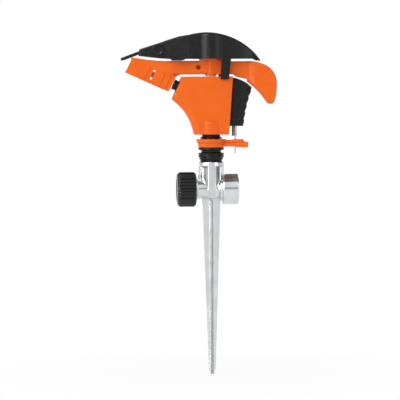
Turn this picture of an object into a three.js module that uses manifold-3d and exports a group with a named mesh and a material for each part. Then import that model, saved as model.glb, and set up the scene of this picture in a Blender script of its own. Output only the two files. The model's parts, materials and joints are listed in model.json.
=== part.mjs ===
// An impact sprinkler on a metal ground spike, as an assembly of separate named parts.
// Millimetres, +Z up. The origin is on the vertical turning axis, where the spike meets the ground.
// The nozzle points along -X, the hose screws in from +X, and the near side is -Y.
import * as THREE from "three";
import { mergeVertices } from "three/addons/utils/BufferGeometryUtils.js";
import Module from "manifold-3d";

const wasm = await Module();
wasm.setup();

// ---------------------------------------------------------------- driving sizes

const fit = 0.3; // clearance between parts that turn or slide on each other
const seat = 0.15; // clearance between faces that rest on each other
const roundSides = 32;
const springWireRadius = 0.65;

// ground spike
const spikeLength = 183.4;
const spikeTopHalfWidth = 9.6;
const spikeTipHalfWidth = 3.4;
const spikeRibThickness = 2.8;
const spikeTipHeight = 5.4;

// cross tube with the hose inlet on one end and the capped stub on the other
const tubeAxisHeight = 11.2;
const tubeRadius = 10.25;
const tubeBoreRadius = 7;
const inletEnd = 28.1;
const inletRadius = 16;
const inletBossLength = 16.3;
const inletSocketRadius = 12.9;
const inletSocketDepth = 14;
const inletChamfer = 1.3;
const stubRadius = 13.3;
const stubLength = 16.6;
const stubEnd = -32.3;

// riser between the cross tube and the bearing nipple
const riserHeight = 28.8;
const riserRadius = 11.4;
const riserBoreRadius = 9.3;
const riserBoreDepth = 16;
const riserRingRadius = 13;
const riserRingHeight = 4;
const riserSideRibReach = 13.7;
const riserFrontRibReach = 12.6;
const riserFrontRibWidth = 7.9;
const riserSideRibWidth = 6;
const riserTop = tubeAxisHeight + riserHeight;
const riserBoreBottom = riserTop - riserBoreDepth;

// blanking cap on the stub
const capRadius = 17.6;
const capRibHeight = 0.6;
const capRibCount = 36;
const capLength = 21;
const capEndWall = 2.2;
const capGasketThickness = 1.5;

// hose washer
const hoseWasherThickness = 2.2;
const hoseWasherBoreRadius = 8;

// trip collars
const lowerCollarHeight = 4.5;
const lowerCollarRadius = 14.1;
const upperCollarHeight = 3.7;
const upperCollarRadius = 15.6;
const tabWidth = 5;
const upperTabReach = 34.4;
const lowerTabReach = 39.2;
const lowerTabRise = 1;
const upperTabAzimuth = -10;
const lowerTabAzimuth = -13;

// bearing nipple and its gasket
const nippleFlangeRadius = 13.5;
const nippleNeckRadius = 10.5;
const nippleSleeveRadius = 10.2;
const nippleTaperHeight = 4;
const nippleFlangeHeight = 4.2;
const nippleNeckHeight = 3.1;
const nippleRingHeight = 2.6;
const nippleGasketThickness = 0.9;
const nippleChamberRadius = 8.7;
const nippleSeat = riserTop + nippleGasketThickness + 2 * seat;
const nippleFlangeBottom = nippleSeat + nippleTaperHeight;
const nippleFlangeTop = nippleFlangeBottom + nippleFlangeHeight;
const nippleRingBottom = nippleFlangeTop + nippleNeckHeight;
const nippleRingTop = nippleRingBottom + nippleRingHeight;
const collarBottom = nippleRingTop + 0.2;
const lowerCollarTop = collarBottom + lowerCollarHeight;
const upperCollarBottom = lowerCollarTop + fit;
const upperCollarTop = upperCollarBottom + upperCollarHeight;
const nippleTop = upperCollarTop + 0.2;

// stem, its washers and spring
const stemRadius = 5.6;
const stemBoreRadius = 3.9;
const stemFlangeRadius = 8.5;
const stemFlangeThickness = 2.2;
const stemDepthInBody = 23.3;
const stemSpringHeight = 14;
const stemSpringTurns = 5;
const thrustWasherThicknesses = [1.2, 1.8, 1.2];
const stemBottom = riserBoreBottom + 1.3;

// spring sleeve
const sleeveHeight = 4.4;
const sleeveSkirt = 1.3;
const sleeveBottomRadius = nippleSleeveRadius + sleeveSkirt;
const sleeveTopRadius = 9.5;
const sleeveBottom = nippleTop + fit;
const nippleChamberFloor = sleeveBottom - stemSpringHeight - 2 * seat;

// head body
const bodyHeight = 60.7;
const bodyHalfWidth = 11.5;
const bodyRearBottom = 19;
const bodyRearTop = 23.4;
const bodyFrontTop = -30.6;
const bodyFrontReach = -41.2;
const bodyFrontHeight = 23.8;
const bodyFrontBottom = -18.6;
const bodyLipWidth = 5.2;
const bodyLipProud = 1.1;
const stemBossRadius = 13.6;
const stemBossHeight = 15.9;
const passageRadius = 4.2;
const bodyBottom = sleeveBottom + sleeveHeight;
const bodyTop = bodyBottom + bodyHeight;
const bodyFrontCorner = { x: bodyFrontReach, z: bodyTop - bodyFrontHeight };
const stemBossTop = bodyBottom + stemBossHeight;
const stemTop = bodyBottom + stemDepthInBody;

// nozzle
const jetElevation = 24.3;
const nozzleRadius = 5.45;
const nozzleReach = 5.2;
const nozzleShankRadius = 4.6;
const nozzleShankLength = 10;
const nozzleMouthRadius = 2.2;
const nozzleSeatDrop = 9.9;
const ringSeatDepth = 1.6;
const ringSeatRadius = 6.6;
const nozzleSeatHeight = bodyTop - nozzleSeatDrop;

// impact arm
const armRise = 2.3;
const armHeight = 14.2;
const armHubRadius = 6;
const armCupRadius = 12.2;
const armCupHeight = 2.2;
const armCupFloorThickness = 1.1;
const armCupWall = 1.6;
const armHole = { x: -13.5, rise: 7.2, radius: 2.4 };
const armSpringRadius = 8;
const armSpringHeight = 14.5;
const armSpringTurns = 6;
const armBarHalfWidth = 3.6;
const armTailHalfWidth = 3;
const spoonLength = 50.4;
const spoonHalfHeight = 8;
const spoonHalfWidth = 8.4;
const spoonWall = 2;
const spoonStart = 0.7;
const spoonTopJoin = -48;
const barStart = -34;
const beakHalfWidth = 7.5;
const beakStart = 38.2;
const beakReach = 69.7;
const beakDrop = 45.3;
const beakTipReach = 61.4;
const beakThroatDrop = 21.9;
const stopLugLength = 5.2;
const stopLugHeight = 8;
const armBottom = bodyTop + armRise;
const armTop = armBottom + armHeight;
const armHubTop = armTop + 1.5;
const armCupTop = armHubTop + armCupHeight;
const armCupFloor = armHubTop + armCupFloorThickness;
const armTailBottom = armBottom - 1.1;
const beakTip = { x: beakTipReach, z: armTop - beakDrop };
const beakThroat = armTop - beakThroatDrop;

// bridge over the arm
const bridgeHeight = 28.1;
const bridgeFront = -22;
const bridgeRear = 51.9;
const bridgeSideRoom = 1.8;
const bridgeBulge = 3.1;
const bridgeWall = 2.2;
const legFront = 11.6;
const legWidth = 7.9;
const legOverlap = 3;
const legThickness = 2.2;
const pinBossRadius = 5;
const pinBossHeight = 9;
const bridgeHalfWidth = bodyHalfWidth + bridgeSideRoom + legThickness;
const bridgeBulgeRadius = bridgeHalfWidth + bridgeBulge;
const bridgeBottom = armTop + 2.1;
const bridgeTop = bridgeBottom + bridgeHeight;
const legBottom = bodyTop - legOverlap;

// arm pivot
const armPinRadius = 2;
const armPinDepth = 16.4;
const armPinTopRoom = 5.1;
const bushingWall = 1.1;
const bushingFlangeRadius = 5.4;
const bushingFlangeThickness = 0.8;
const armPinBottom = bodyTop - armPinDepth;
const armPinTop = bridgeTop - armPinTopRoom;

// front bonnet with the deflector
const bonnetNose = -75.1;
const bonnetNoseHalfWidth = 9.6;
const bonnetNoseHeight = 7.1;
const bonnetNoseRise = 3.3;
const bonnetWall = 2.2;
const bonnetRoofFront = -49;
const bonnetRoofDrop = 9.1;
const bonnetLugFront = -40.5;
const bonnetLugRear = -28.5;
const bonnetLugDrop = 1.6;
const flapPivotX = -55.9;
const flapPivotRise = 8.9;
const flapHubRadius = 4.9;
const flapReach = -94.1;
const flapSlope = 20.5;
const flapThickness = 1.7;
const flapHalfWidth = 6.4;
const flapPinRadius = 1.8;
const flapPinHeadRadius = 6;
const flapPinHeadThickness = 1;
const flapBossProud = 1;
const bonnetNoseBottom = bridgeBottom + bonnetNoseRise;
const bonnetNoseTop = bonnetNoseBottom + bonnetNoseHeight;
const bonnetRoofFrontTop = bridgeTop - bonnetRoofDrop;
const flapPivot = { x: flapPivotX, z: bridgeBottom + flapPivotRise };

// trip lever at the back
const tripHalfWidth = 5.5;
const tripTopDrop = 1.2;
const tripBottomRise = 9.6;
const tripPivotRise = 28.3;
const tripGap = 1;
const tripDepthBottom = 14.2;
const tripDepthTop = 19.2;
const tripRidgeCount = 5;
const tripRidgeDepth = 0.9;
const tripPinRadius = 1.8;
const tripPinLength = 20;
const tripPinDepth = 12;
const tripPocketDepth = 9;
const tripPocketHalfWidth = 2.9;
const tripPocketHeight = 14;
const tripPocketRise = 4;
const tripSpringRadius = 2;
const tripSpringTurns = 6;
const tripWireRadius = 0.45;
const tripPivot = { x: 22, z: bodyBottom + tripPivotRise };
const tripTop = bodyTop - tripTopDrop;
const tripBottom = bodyBottom + tripBottomRise;
const tripRearBottom = bodyRearBottom + tripDepthBottom + 0.7;
const tripRearTop = bodyRearTop + tripDepthTop;
const tripPocketRear = tripPivot.x + tripPocketDepth;

// trip wire
const wireX = 25.4;
const wirePivotRise = 2.2;
const wireRadius = 0.65;
const wireReachBelowCollars = 6.2;
const wireSleeveRadius = 1.5;
const wireSleeveRoom = 3.4;
const wirePinRadius = 0.7;
const wirePivotHeight = tripBottom + wirePivotRise;
const wireBottom = collarBottom - wireReachBelowCollars;
const wireSleeveBottom = upperCollarTop + wireSleeveRoom;

// ---------------------------------------------------------------- small tools

const radians = THREE.MathUtils.degToRad;

// Turning matrices that lay a shape's own plane into the part's frame.
const uprightXZ = new THREE.Matrix4().makeBasis(
  new THREE.Vector3(1, 0, 0),
  new THREE.Vector3(0, 0, 1),
  new THREE.Vector3(0, -1, 0),
);
const axisZ = new THREE.Matrix4().makeRotationX(Math.PI / 2);
const axisX = new THREE.Matrix4().makeRotationZ(-Math.PI / 2);
const axisY = new THREE.Matrix4();

// A three.js geometry as a solid: only positions, merged, with collapsed triangles left out.
function solid(geometry, matrix = new THREE.Matrix4()) {
  const loose = geometry.index ? geometry.toNonIndexed() : geometry;
  const bare = new THREE.BufferGeometry();
  bare.setAttribute("position", loose.getAttribute("position").clone());
  bare.applyMatrix4(matrix);
  const merged = mergeVertices(bare, 1e-4);
  const index = merged.index.array;
  const kept = [];
  for (let i = 0; i < index.length; i += 3) {
    const [a, b, c] = [index[i], index[i + 1], index[i + 2]];
    if (a !== b && b !== c && a !== c) kept.push(a, b, c);
  }
  return new wasm.Manifold(
    new wasm.Mesh({
      numProp: 3,
      vertProperties: new Float32Array(merged.getAttribute("position").array),
      triVerts: new Uint32Array(kept),
    }),
  );
}

// The solid's surface as a geometry with flat faces.
function geometryOf(made) {
  const mesh = made.getMesh();
  const geometry = new THREE.BufferGeometry();
  const count = mesh.numVert;
  const positions = new Float32Array(count * 3);
  for (let i = 0; i < count; i++) {
    const start = i * mesh.numProp;
    positions.set(mesh.vertProperties.subarray(start, start + 3), i * 3);
  }
  geometry.setAttribute("position", new THREE.BufferAttribute(positions, 3));
  geometry.setIndex(new THREE.BufferAttribute(new Uint32Array(mesh.triVerts), 1));
  const faceted = geometry.toNonIndexed();
  faceted.computeVertexNormals();
  return faceted;
}

function joined(solids) {
  return solids.reduce((all, next) => all.add(next));
}

function shapeOf(points) {
  return new THREE.Shape(points.map(([x, y]) => new THREE.Vector2(x, y)));
}

// A side outline in X and Z, from one Y to another.
function sidePlate(outline, fromY, toY, curveSegments = 12) {
  const shape = outline instanceof THREE.Shape ? outline : shapeOf(outline);
  const geometry = new THREE.ExtrudeGeometry(shape, {
    depth: toY - fromY,
    bevelEnabled: false,
    curveSegments,
  });
  const place = new THREE.Matrix4().makeTranslation(0, toY, 0).multiply(uprightXZ);
  return solid(geometry, place);
}

// A plan outline in X and Y, from one height to another.
function planPlate(outline, fromZ, toZ, curveSegments = 12) {
  const shape = outline instanceof THREE.Shape ? outline : shapeOf(outline);
  const geometry = new THREE.ExtrudeGeometry(shape, {
    depth: toZ - fromZ,
    bevelEnabled: false,
    curveSegments,
  });
  return solid(geometry, new THREE.Matrix4().makeTranslation(0, 0, fromZ));
}

// A block between two corners.
function block(fromX, toX, fromY, toY, fromZ, toZ) {
  const geometry = new THREE.BoxGeometry(toX - fromX, toY - fromY, toZ - fromZ);
  const middle = [(fromX + toX) / 2, (fromY + toY) / 2, (fromZ + toZ) / 2];
  return solid(geometry, new THREE.Matrix4().makeTranslation(...middle));
}

// A profile of [radius, place along the axis], turned round the axis that the matrix names.
// An open profile starts and ends on the axis, and a closed one comes back to its first point.
function turned(profile, matrix = axisZ, sides = roundSides) {
  let area = 0;
  for (let i = 0; i < profile.length; i++) {
    const [r0, h0] = profile[i];
    const [r1, h1] = profile[(i + 1) % profile.length];
    area += r0 * h1 - r1 * h0;
  }
  const ordered = area > 0 ? profile : [...profile].reverse();
  const points = ordered.map(([r, h]) => new THREE.Vector2(r, h));
  const onAxis = ordered[0][0] === 0 && ordered.at(-1)[0] === 0;
  if (!onAxis) points.push(points[0].clone());
  return solid(new THREE.LatheGeometry(points, sides), matrix);
}

// A plain rod, and a plain tube, along the axis that the matrix names.
function rod(radius, from, to, matrix = axisZ, sides = roundSides) {
  return turned([[0, from], [radius, from], [radius, to], [0, to]], matrix, sides);
}

function tube(outer, inner, from, to, matrix = axisZ, sides = roundSides) {
  return turned([[inner, from], [outer, from], [outer, to], [inner, to]], matrix, sides);
}

function shifted(matrix, x, y, z) {
  return new THREE.Matrix4().makeTranslation(x, y, z).multiply(matrix);
}

// A coil spring round Z: a round wire along a helix.
class Helix extends THREE.Curve {
  constructor(radius, bottom, top, turns) {
    super();
    Object.assign(this, { radius, bottom, top, turns });
  }
  getPoint(t, target = new THREE.Vector3()) {
    const angle = 2 * Math.PI * this.turns * t;
    const height = THREE.MathUtils.lerp(this.bottom, this.top, t);
    return target.set(this.radius * Math.cos(angle), this.radius * Math.sin(angle), height);
  }
}

function coil(radius, wire, bottom, top, turns, stepsPerTurn = 12, wireCurve = 3) {
  const section = new THREE.Shape();
  section.absarc(0, 0, wire, 0, 2 * Math.PI);
  const path = new Helix(radius, bottom + wire, top - wire, turns);
  const geometry = new THREE.ExtrudeGeometry(section, {
    extrudePath: path,
    steps: turns * stepsPerTurn,
    curveSegments: wireCurve,
    bevelEnabled: false,
  });
  return solid(geometry);
}

const finishes = {
  zinc: { color: 0xc9cccf, roughness: 0.22, metalness: 1 },
  steel: { color: 0xb9bcc0, roughness: 0.3, metalness: 1 },
  brass: { color: 0xc8a45a, roughness: 0.35, metalness: 1 },
  black: { color: 0x2d2f2e, roughness: 0.5, metalness: 0 },
  orange: { color: 0xf06a23, roughness: 0.4, metalness: 0 },
  rubber: { color: 0x1b1b1b, roughness: 0.85, metalness: 0 },
  nylon: { color: 0xe4e0d4, roughness: 0.5, metalness: 0 },
};

function part(name, made, finish) {
  const mesh = new THREE.Mesh(geometryOf(made), new THREE.MeshStandardMaterial(finishes[finish]));
  mesh.name = name;
  return mesh;
}

function group(x, y, z, ...children) {
  const made = new THREE.Group();
  made.position.set(x, y, z);
  made.add(...children);
  return made;
}

// ---------------------------------------------------------------- spike, cross tube and riser

// One leg of the cross-shaped spike, narrowing to a blunt tip.
function spikeRib() {
  const tipWidth = spikeTipHalfWidth;
  const outline = [
    [-tipWidth / 2, -spikeLength],
    [tipWidth / 2, -spikeLength],
    [tipWidth, -spikeLength + spikeTipHeight],
    [spikeTopHalfWidth, 0],
    [spikeTopHalfWidth * 0.9, tubeAxisHeight],
    [-spikeTopHalfWidth * 0.9, tubeAxisHeight],
    [-spikeTopHalfWidth, 0],
    [-tipWidth, -spikeLength + spikeTipHeight],
  ];
  return sidePlate(outline, -spikeRibThickness / 2, spikeRibThickness / 2);
}

function spikeCasting() {
  const onTube = shifted(axisX, 0, 0, tubeAxisHeight);
  const inletStart = inletEnd - inletBossLength;
  const neckEnd = stubEnd + stubLength;
  const outside = turned(
    [
      [0, stubEnd],
      [stubRadius - 1, stubEnd],
      [stubRadius, stubEnd + 1],
      [stubRadius, neckEnd],
      [tubeRadius, neckEnd],
      [tubeRadius, inletStart - 3],
      [inletRadius - 3, inletStart - 2],
      [inletRadius - 3, inletStart],
      [inletRadius, inletStart],
      [inletRadius, inletEnd - inletChamfer],
      [inletRadius - inletChamfer, inletEnd],
      [0, inletEnd],
    ],
    onTube,
  );
  const riser = turned([
    [0, tubeAxisHeight],
    [riserRadius, tubeAxisHeight],
    [riserRadius, riserTop - riserRingHeight - 1],
    [riserRingRadius, riserTop - riserRingHeight],
    [riserRingRadius, riserTop - 0.6],
    [riserRingRadius - 0.6, riserTop],
    [0, riserTop],
  ]);
  const ribTop = riserTop - riserRingHeight / 2;
  const sideHalf = riserSideRibWidth / 2;
  const frontHalf = riserFrontRibWidth / 2;
  const ribs = [
    block(-riserSideRibReach, riserSideRibReach, -sideHalf, sideHalf, tubeAxisHeight, ribTop),
    block(-frontHalf, frontHalf, -riserFrontRibReach, riserFrontRibReach, tubeAxisHeight / 2, ribTop),
  ];
  const spike = spikeRib();
  const acrossSpike = spikeRib().rotate([0, 0, 90]);
  const socket = rod(inletSocketRadius, inletEnd - inletSocketDepth, inletEnd + 1, onTube);
  const bore = rod(tubeBoreRadius, stubEnd - 1, inletEnd - 1, onTube);
  const riserBore = turned([
    [0, tubeAxisHeight],
    [tubeBoreRadius - 1, tubeAxisHeight],
    [tubeBoreRadius - 1, riserBoreBottom],
    [riserBoreRadius, riserBoreBottom],
    [riserBoreRadius, riserTop + 1],
    [0, riserTop + 1],
  ]);
  return joined([outside, riser, ...ribs, spike, acrossSpike])
    .subtract(socket)
    .subtract(bore)
    .subtract(riserBore);
}

// ---------------------------------------------------------------- cap and washers, round the cross tube

// The cap's outside: a round with square grip ribs, drawn as one closed outline.
function ribbedOutline(radius, height, count) {
  const points = [];
  for (let i = 0; i < count; i++) {
    const start = (2 * Math.PI * i) / count;
    const step = (2 * Math.PI) / count;
    const corners = [[0, radius], [0.12, radius + height], [0.5, radius + height], [0.62, radius]];
    for (const [share, r] of corners) {
      const angle = start + share * step;
      points.push([r * Math.cos(angle), r * Math.sin(angle)]);
    }
  }
  return points;
}

const capEnd = stubEnd - capGasketThickness - 2 * seat - capEndWall;

function outletCap() {
  const across = new THREE.Matrix4().makeRotationY(Math.PI / 2);
  const outline = shapeOf(ribbedOutline(capRadius, capRibHeight, capRibCount));
  const geometry = new THREE.ExtrudeGeometry(outline, { depth: capLength, bevelEnabled: false });
  const ribbed = solid(geometry, shifted(across, capEnd, 0, 0));
  const reach = capRadius + capRibHeight + 0.2;
  const ease = 2.2;
  const eased = turned(
    [
      [0, capEnd - 1],
      [capRadius - ease, capEnd - 1],
      [capRadius - ease, capEnd],
      [capRadius - 0.4, capEnd + ease * 0.45],
      [reach, capEnd + ease],
      [reach, capEnd + capLength + 1],
      [0, capEnd + capLength + 1],
    ],
    axisX,
  );
  const hollow = rod(stubRadius + 2 * fit, capEnd + capEndWall, capEnd + capLength + 1, axisX);
  return ribbed.intersect(eased).subtract(hollow);
}

function capGasket() {
  const inner = capEnd + capEndWall + seat;
  return tube(stubRadius + fit, tubeBoreRadius + 1, inner, inner + capGasketThickness, axisX);
}

function hoseWasher() {
  const start = inletEnd - inletSocketDepth + seat;
  return tube(inletSocketRadius - fit, hoseWasherBoreRadius, start, start + hoseWasherThickness, axisX);
}

// ---------------------------------------------------------------- bearing nipple, stem and washers

const washersBottom = stemBottom + stemFlangeThickness + seat;
const washerFloors = thrustWasherThicknesses.map((_, i) =>
  thrustWasherThicknesses.slice(0, i).reduce((z, t) => z + t + seat, washersBottom),
);
const nippleBottom = washerFloors.at(-1) + thrustWasherThicknesses.at(-1) + seat;

function bearingNipple() {
  const groove = (nippleFlangeBottom + nippleFlangeTop) / 2;
  const bearing = stemRadius + fit;
  return turned([
    [bearing, nippleBottom],
    [riserBoreRadius - fit, nippleBottom],
    [riserBoreRadius - fit, nippleSeat],
    [riserRadius, nippleSeat],
    [nippleFlangeRadius, nippleFlangeBottom],
    [nippleFlangeRadius, groove - 0.5],
    [nippleFlangeRadius - 0.6, groove],
    [nippleFlangeRadius, groove + 0.5],
    [nippleFlangeRadius, nippleFlangeTop],
    [nippleNeckRadius, nippleFlangeTop],
    [nippleNeckRadius, nippleRingBottom],
    [nippleFlangeRadius, nippleRingBottom],
    [nippleFlangeRadius, nippleRingTop],
    [nippleSleeveRadius, nippleRingTop],
    [nippleSleeveRadius, nippleTop],
    [nippleChamberRadius, nippleTop],
    [nippleChamberRadius, nippleChamberFloor],
    [bearing, nippleChamberFloor],
  ]);
}

function nippleGasket() {
  const bottom = riserTop + seat;
  return tube(riserRadius, riserBoreRadius, bottom, bottom + nippleGasketThickness);
}

function stemTube() {
  const flangeTop = stemBottom + stemFlangeThickness;
  return turned([
    [stemBoreRadius, stemBottom],
    [stemFlangeRadius, stemBottom],
    [stemFlangeRadius, flangeTop],
    [stemRadius, flangeTop],
    [stemRadius, stemTop],
    [stemBoreRadius, stemTop],
  ]);
}

function thrustWasher(i) {
  const floor = washerFloors[i];
  return tube(stemFlangeRadius, stemRadius + fit, floor, floor + thrustWasherThicknesses[i]);
}

function stemSpring() {
  const radius = (nippleChamberRadius + stemRadius) / 2;
  return coil(radius, springWireRadius, nippleChamberFloor + seat, sleeveBottom - seat, stemSpringTurns);
}

function springSleeve() {
  const bore = stemRadius + fit;
  return turned([
    [bore, sleeveBottom],
    [sleeveBottomRadius, sleeveBottom],
    [sleeveBottomRadius, sleeveBottom + 1],
    [sleeveTopRadius, bodyBottom - 1],
    [sleeveTopRadius, bodyBottom - seat],
    [bore, bodyBottom - seat],
  ]);
}

// ---------------------------------------------------------------- trip collars

// A ring on the nipple's sleeve with a flat finger tab on one side.
function collar(radius, bottom, top, tabOutline, azimuth) {
  const half = tabWidth / 2;
  const tab = sidePlate(tabOutline, -half, half);
  const hole = rod(nippleSleeveRadius + fit, bottom - 1, top + 1);
  return rod(radius, bottom, top).add(tab).subtract(hole).rotate([0, 0, azimuth]);
}

function upperCollar() {
  const waist = 23.8;
  const outline = [
    [nippleSleeveRadius + 1, upperCollarBottom],
    [upperTabReach, upperCollarBottom],
    [upperTabReach, upperCollarTop - 0.8],
    [upperTabReach - 1, upperCollarTop],
    [waist, upperCollarTop],
    [waist - 2, upperCollarTop - 0.7],
    [nippleSleeveRadius + 1, upperCollarTop - 0.7],
  ];
  return collar(upperCollarRadius, upperCollarBottom, upperCollarTop, outline, upperTabAzimuth);
}

function lowerCollar() {
  const waist = 26;
  const riseStart = Math.hypot(upperTabReach, tabWidth / 2) + fit;
  const outline = [
    [nippleSleeveRadius + 1, collarBottom + 0.8],
    [waist, collarBottom + 0.8],
    [waist + 2, collarBottom],
    [lowerTabReach, collarBottom],
    [lowerTabReach, lowerCollarTop + lowerTabRise],
    [riseStart, lowerCollarTop + lowerTabRise + 0.8],
    [riseStart, lowerCollarTop],
    [nippleSleeveRadius + 1, lowerCollarTop],
  ];
  return collar(lowerCollarRadius, collarBottom, lowerCollarTop, outline, lowerTabAzimuth);
}

// ---------------------------------------------------------------- head body and nozzle

const frontSlope =
  (bodyFrontTop - bodyFrontCorner.x) / (bodyTop - bodyFrontCorner.z);
const nozzleSeat = {
  x: bodyFrontCorner.x + frontSlope * (nozzleSeatHeight - bodyFrontCorner.z),
  z: nozzleSeatHeight,
};
const elbowHeight = nozzleSeat.z + nozzleSeat.x * Math.tan(radians(jetElevation));

// The nozzle's frame: its +X runs out along the jet.
const alongJet = new THREE.Matrix4()
  .makeTranslation(nozzleSeat.x, 0, nozzleSeat.z)
  .multiply(new THREE.Matrix4().makeRotationY(Math.PI + radians(jetElevation)));

function bodyOutline() {
  const shape = new THREE.Shape();
  shape.moveTo(bodyFrontBottom, bodyBottom);
  shape.lineTo(bodyRearBottom, bodyBottom);
  shape.lineTo(bodyRearTop, bodyTop);
  shape.lineTo(bodyFrontTop, bodyTop);
  shape.lineTo(bodyFrontCorner.x, bodyFrontCorner.z);
  shape.bezierCurveTo(
    bodyFrontCorner.x + 14,
    bodyFrontCorner.z - 10.5,
    bodyFrontBottom - 3,
    bodyBottom + 16,
    bodyFrontBottom,
    bodyBottom,
  );
  return shape;
}

// The proud lip that follows the concave front edge.
function lipOutline() {
  const shape = new THREE.Shape();
  const width = bodyLipWidth;
  shape.moveTo(bodyFrontBottom, bodyBottom);
  shape.lineTo(bodyFrontBottom + width, bodyBottom);
  shape.bezierCurveTo(
    bodyFrontBottom - 3 + width,
    bodyBottom + 16,
    bodyFrontCorner.x + 14 + width,
    bodyFrontCorner.z - 10.5 + width,
    bodyFrontCorner.x + frontSlope * width,
    bodyFrontCorner.z + width,
  );
  shape.lineTo(bodyFrontCorner.x, bodyFrontCorner.z);
  shape.bezierCurveTo(
    bodyFrontCorner.x + 14,
    bodyFrontCorner.z - 10.5,
    bodyFrontBottom - 3,
    bodyBottom + 16,
    bodyFrontBottom,
    bodyBottom,
  );
  return shape;
}

function headBody() {
  const lipHalf = bodyHalfWidth + bodyLipProud;
  const outside = joined([
    sidePlate(bodyOutline(), -bodyHalfWidth, bodyHalfWidth),
    sidePlate(lipOutline(), -lipHalf, lipHalf),
    turned([
      [0, bodyBottom],
      [stemBossRadius, bodyBottom],
      [stemBossRadius, stemBossTop - 2.5],
      [stemBossRadius - 2.5, stemBossTop],
      [0, stemBossTop],
    ]),
  ]);
  const stemSocket = rod(stemRadius + fit, bodyBottom - 1, stemTop + fit);
  const upPassage = rod(passageRadius, stemTop, elbowHeight + 1);
  const outPassage = rod(passageRadius, nozzleSeat.x, 1, jetBore());
  const nozzleSocket = rod(nozzleShankRadius + fit, -nozzleShankLength - fit, 1, jetRod());
  const ringSeat = rod(ringSeatRadius, -ringSeatDepth, 3, jetRod());
  const pinHole = rod(armPinRadius + seat, armPinBottom - seat, bodyTop + 1);
  const tripHoleEnd = tripPivot.x - tripPinDepth - seat;
  const tripHole = rod(tripPinRadius + seat, tripHoleEnd, tripPivot.x + 9, tripAxis());
  return outside
    .subtract(stemSocket)
    .subtract(upPassage)
    .subtract(outPassage)
    .subtract(nozzleSocket)
    .subtract(ringSeat)
    .subtract(pinHole)
    .subtract(tripHole);
}

// Rods along the jet, measured from the body's front face, and from the elbow.
function jetRod() {
  return alongJet.clone().multiply(axisX);
}

function jetBore() {
  const turn = new THREE.Matrix4().makeRotationY(radians(jetElevation));
  return new THREE.Matrix4()
    .makeTranslation(0, 0, elbowHeight)
    .multiply(turn)
    .multiply(axisX);
}

function tripAxis() {
  return shifted(axisX, 0, 0, tripPivot.z);
}

// In the nozzle's own frame the jet runs along +X from the body's face.
function nozzle() {
  const shoulder = -ringSeatDepth + 1.5;
  return turned(
    [
      [nozzleMouthRadius + 1, -nozzleShankLength],
      [nozzleShankRadius, -nozzleShankLength],
      [nozzleShankRadius, shoulder],
      [nozzleRadius, shoulder],
      [nozzleRadius, nozzleReach - 0.6],
      [nozzleRadius - 0.6, nozzleReach],
      [nozzleMouthRadius, nozzleReach],
    ],
    axisX,
  );
}

function nozzleRing() {
  const start = -ringSeatDepth + seat;
  return tube(ringSeatRadius - seat, nozzleShankRadius + seat, start, start + 1.2, axisX);
}

// ---------------------------------------------------------------- impact arm

// The spoon's frame: +X runs out along the jet from the nozzle's mouth.
const spoonPlace = alongJet
  .clone()
  .multiply(new THREE.Matrix4().makeTranslation(nozzleReach, 0, 0));

function spoonCorner(along, up) {
  const corner = new THREE.Vector3(along, 0, -up).applyMatrix4(spoonPlace);
  return [corner.x, corner.z];
}

function spoon() {
  const end = spoonStart + spoonLength;
  const half = spoonHalfHeight;
  const wall = spoonWall;
  const nearWall = sidePlate(
    [
      spoonCorner(end, -half),
      spoonCorner(end - 0.6, half),
      [spoonTopJoin, armTop],
      [barStart + 2, armTop],
      [barStart + 2, armBottom],
      spoonCorner(spoonStart, half),
      spoonCorner(spoonStart + 1, -half),
    ],
    -spoonHalfWidth,
    -spoonHalfWidth + wall,
  );
  const flange = (from, low, high) =>
    sidePlate(
      [
        spoonCorner(from, low),
        spoonCorner(end, low),
        spoonCorner(end - 0.3, high),
        spoonCorner(from, high),
      ],
      -spoonHalfWidth,
      spoonHalfWidth - 1,
    );
  const web = sidePlate(
    [
      [spoonTopJoin + 2, armTop],
      [barStart + 2, armTop],
      [barStart + 2, armBottom],
      spoonCorner(spoonStart, half),
      spoonCorner(spoonStart + 9, half - wall),
    ],
    -spoonHalfWidth,
    armBarHalfWidth,
  );
  const up = spoonPlace;
  const vane = solid(
    new THREE.ExtrudeGeometry(
      shapeOf([
        [end - 15, spoonHalfWidth - wall],
        [end - 4, -2],
        [end - 0.5, -spoonHalfWidth + 1.5],
        [end - 0.5, -spoonHalfWidth + 4],
        [end - 3, 0.5],
        [end - 13, spoonHalfWidth - 0.2],
      ]),
      { depth: 2 * half - 2, bevelEnabled: false },
    ),
    up.clone().multiply(new THREE.Matrix4().makeTranslation(0, 0, -half + 1)),
  );
  const ribs = [6, 13, 30].map((along) =>
    sidePlate(
      [
        spoonCorner(along, -half + 0.4),
        spoonCorner(along + 1.6, -half + 0.4),
        spoonCorner(along + 1.6, half - 0.6),
        spoonCorner(along, half - 0.6),
      ],
      -spoonHalfWidth - 0.7,
      -spoonHalfWidth + wall / 2,
    ),
  );
  const slot = sidePlate(
    [spoonCorner(23, -5.2), spoonCorner(25, -5.2), spoonCorner(25, 5.4), spoonCorner(23, 5.4)],
    -spoonHalfWidth - 2,
    -spoonHalfWidth + 2 * wall,
  );
  return joined([
    nearWall,
    flange(spoonStart + 6, -half, -half + wall),
    flange(spoonStart + 2, half - wall, half),
    web,
    vane,
    ...ribs,
  ]).subtract(slot);
}

function beakOutline() {
  const shape = new THREE.Shape();
  shape.moveTo(beakStart, beakThroat);
  shape.lineTo(beakStart, armTop - 0.4);
  shape.bezierCurveTo(beakStart + 21, armTop - 1, beakReach, armTop - 10, beakReach, beakThroat - 2.7);
  shape.bezierCurveTo(beakReach, beakTip.z + 11, beakReach - 2, beakTip.z + 1, beakTip.x, beakTip.z);
  shape.bezierCurveTo(beakTip.x - 5, beakTip.z, beakStart + 15, beakThroat - 11, beakStart, beakThroat);
  return shape;
}

const legInner = bridgeHalfWidth - legThickness;

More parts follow.
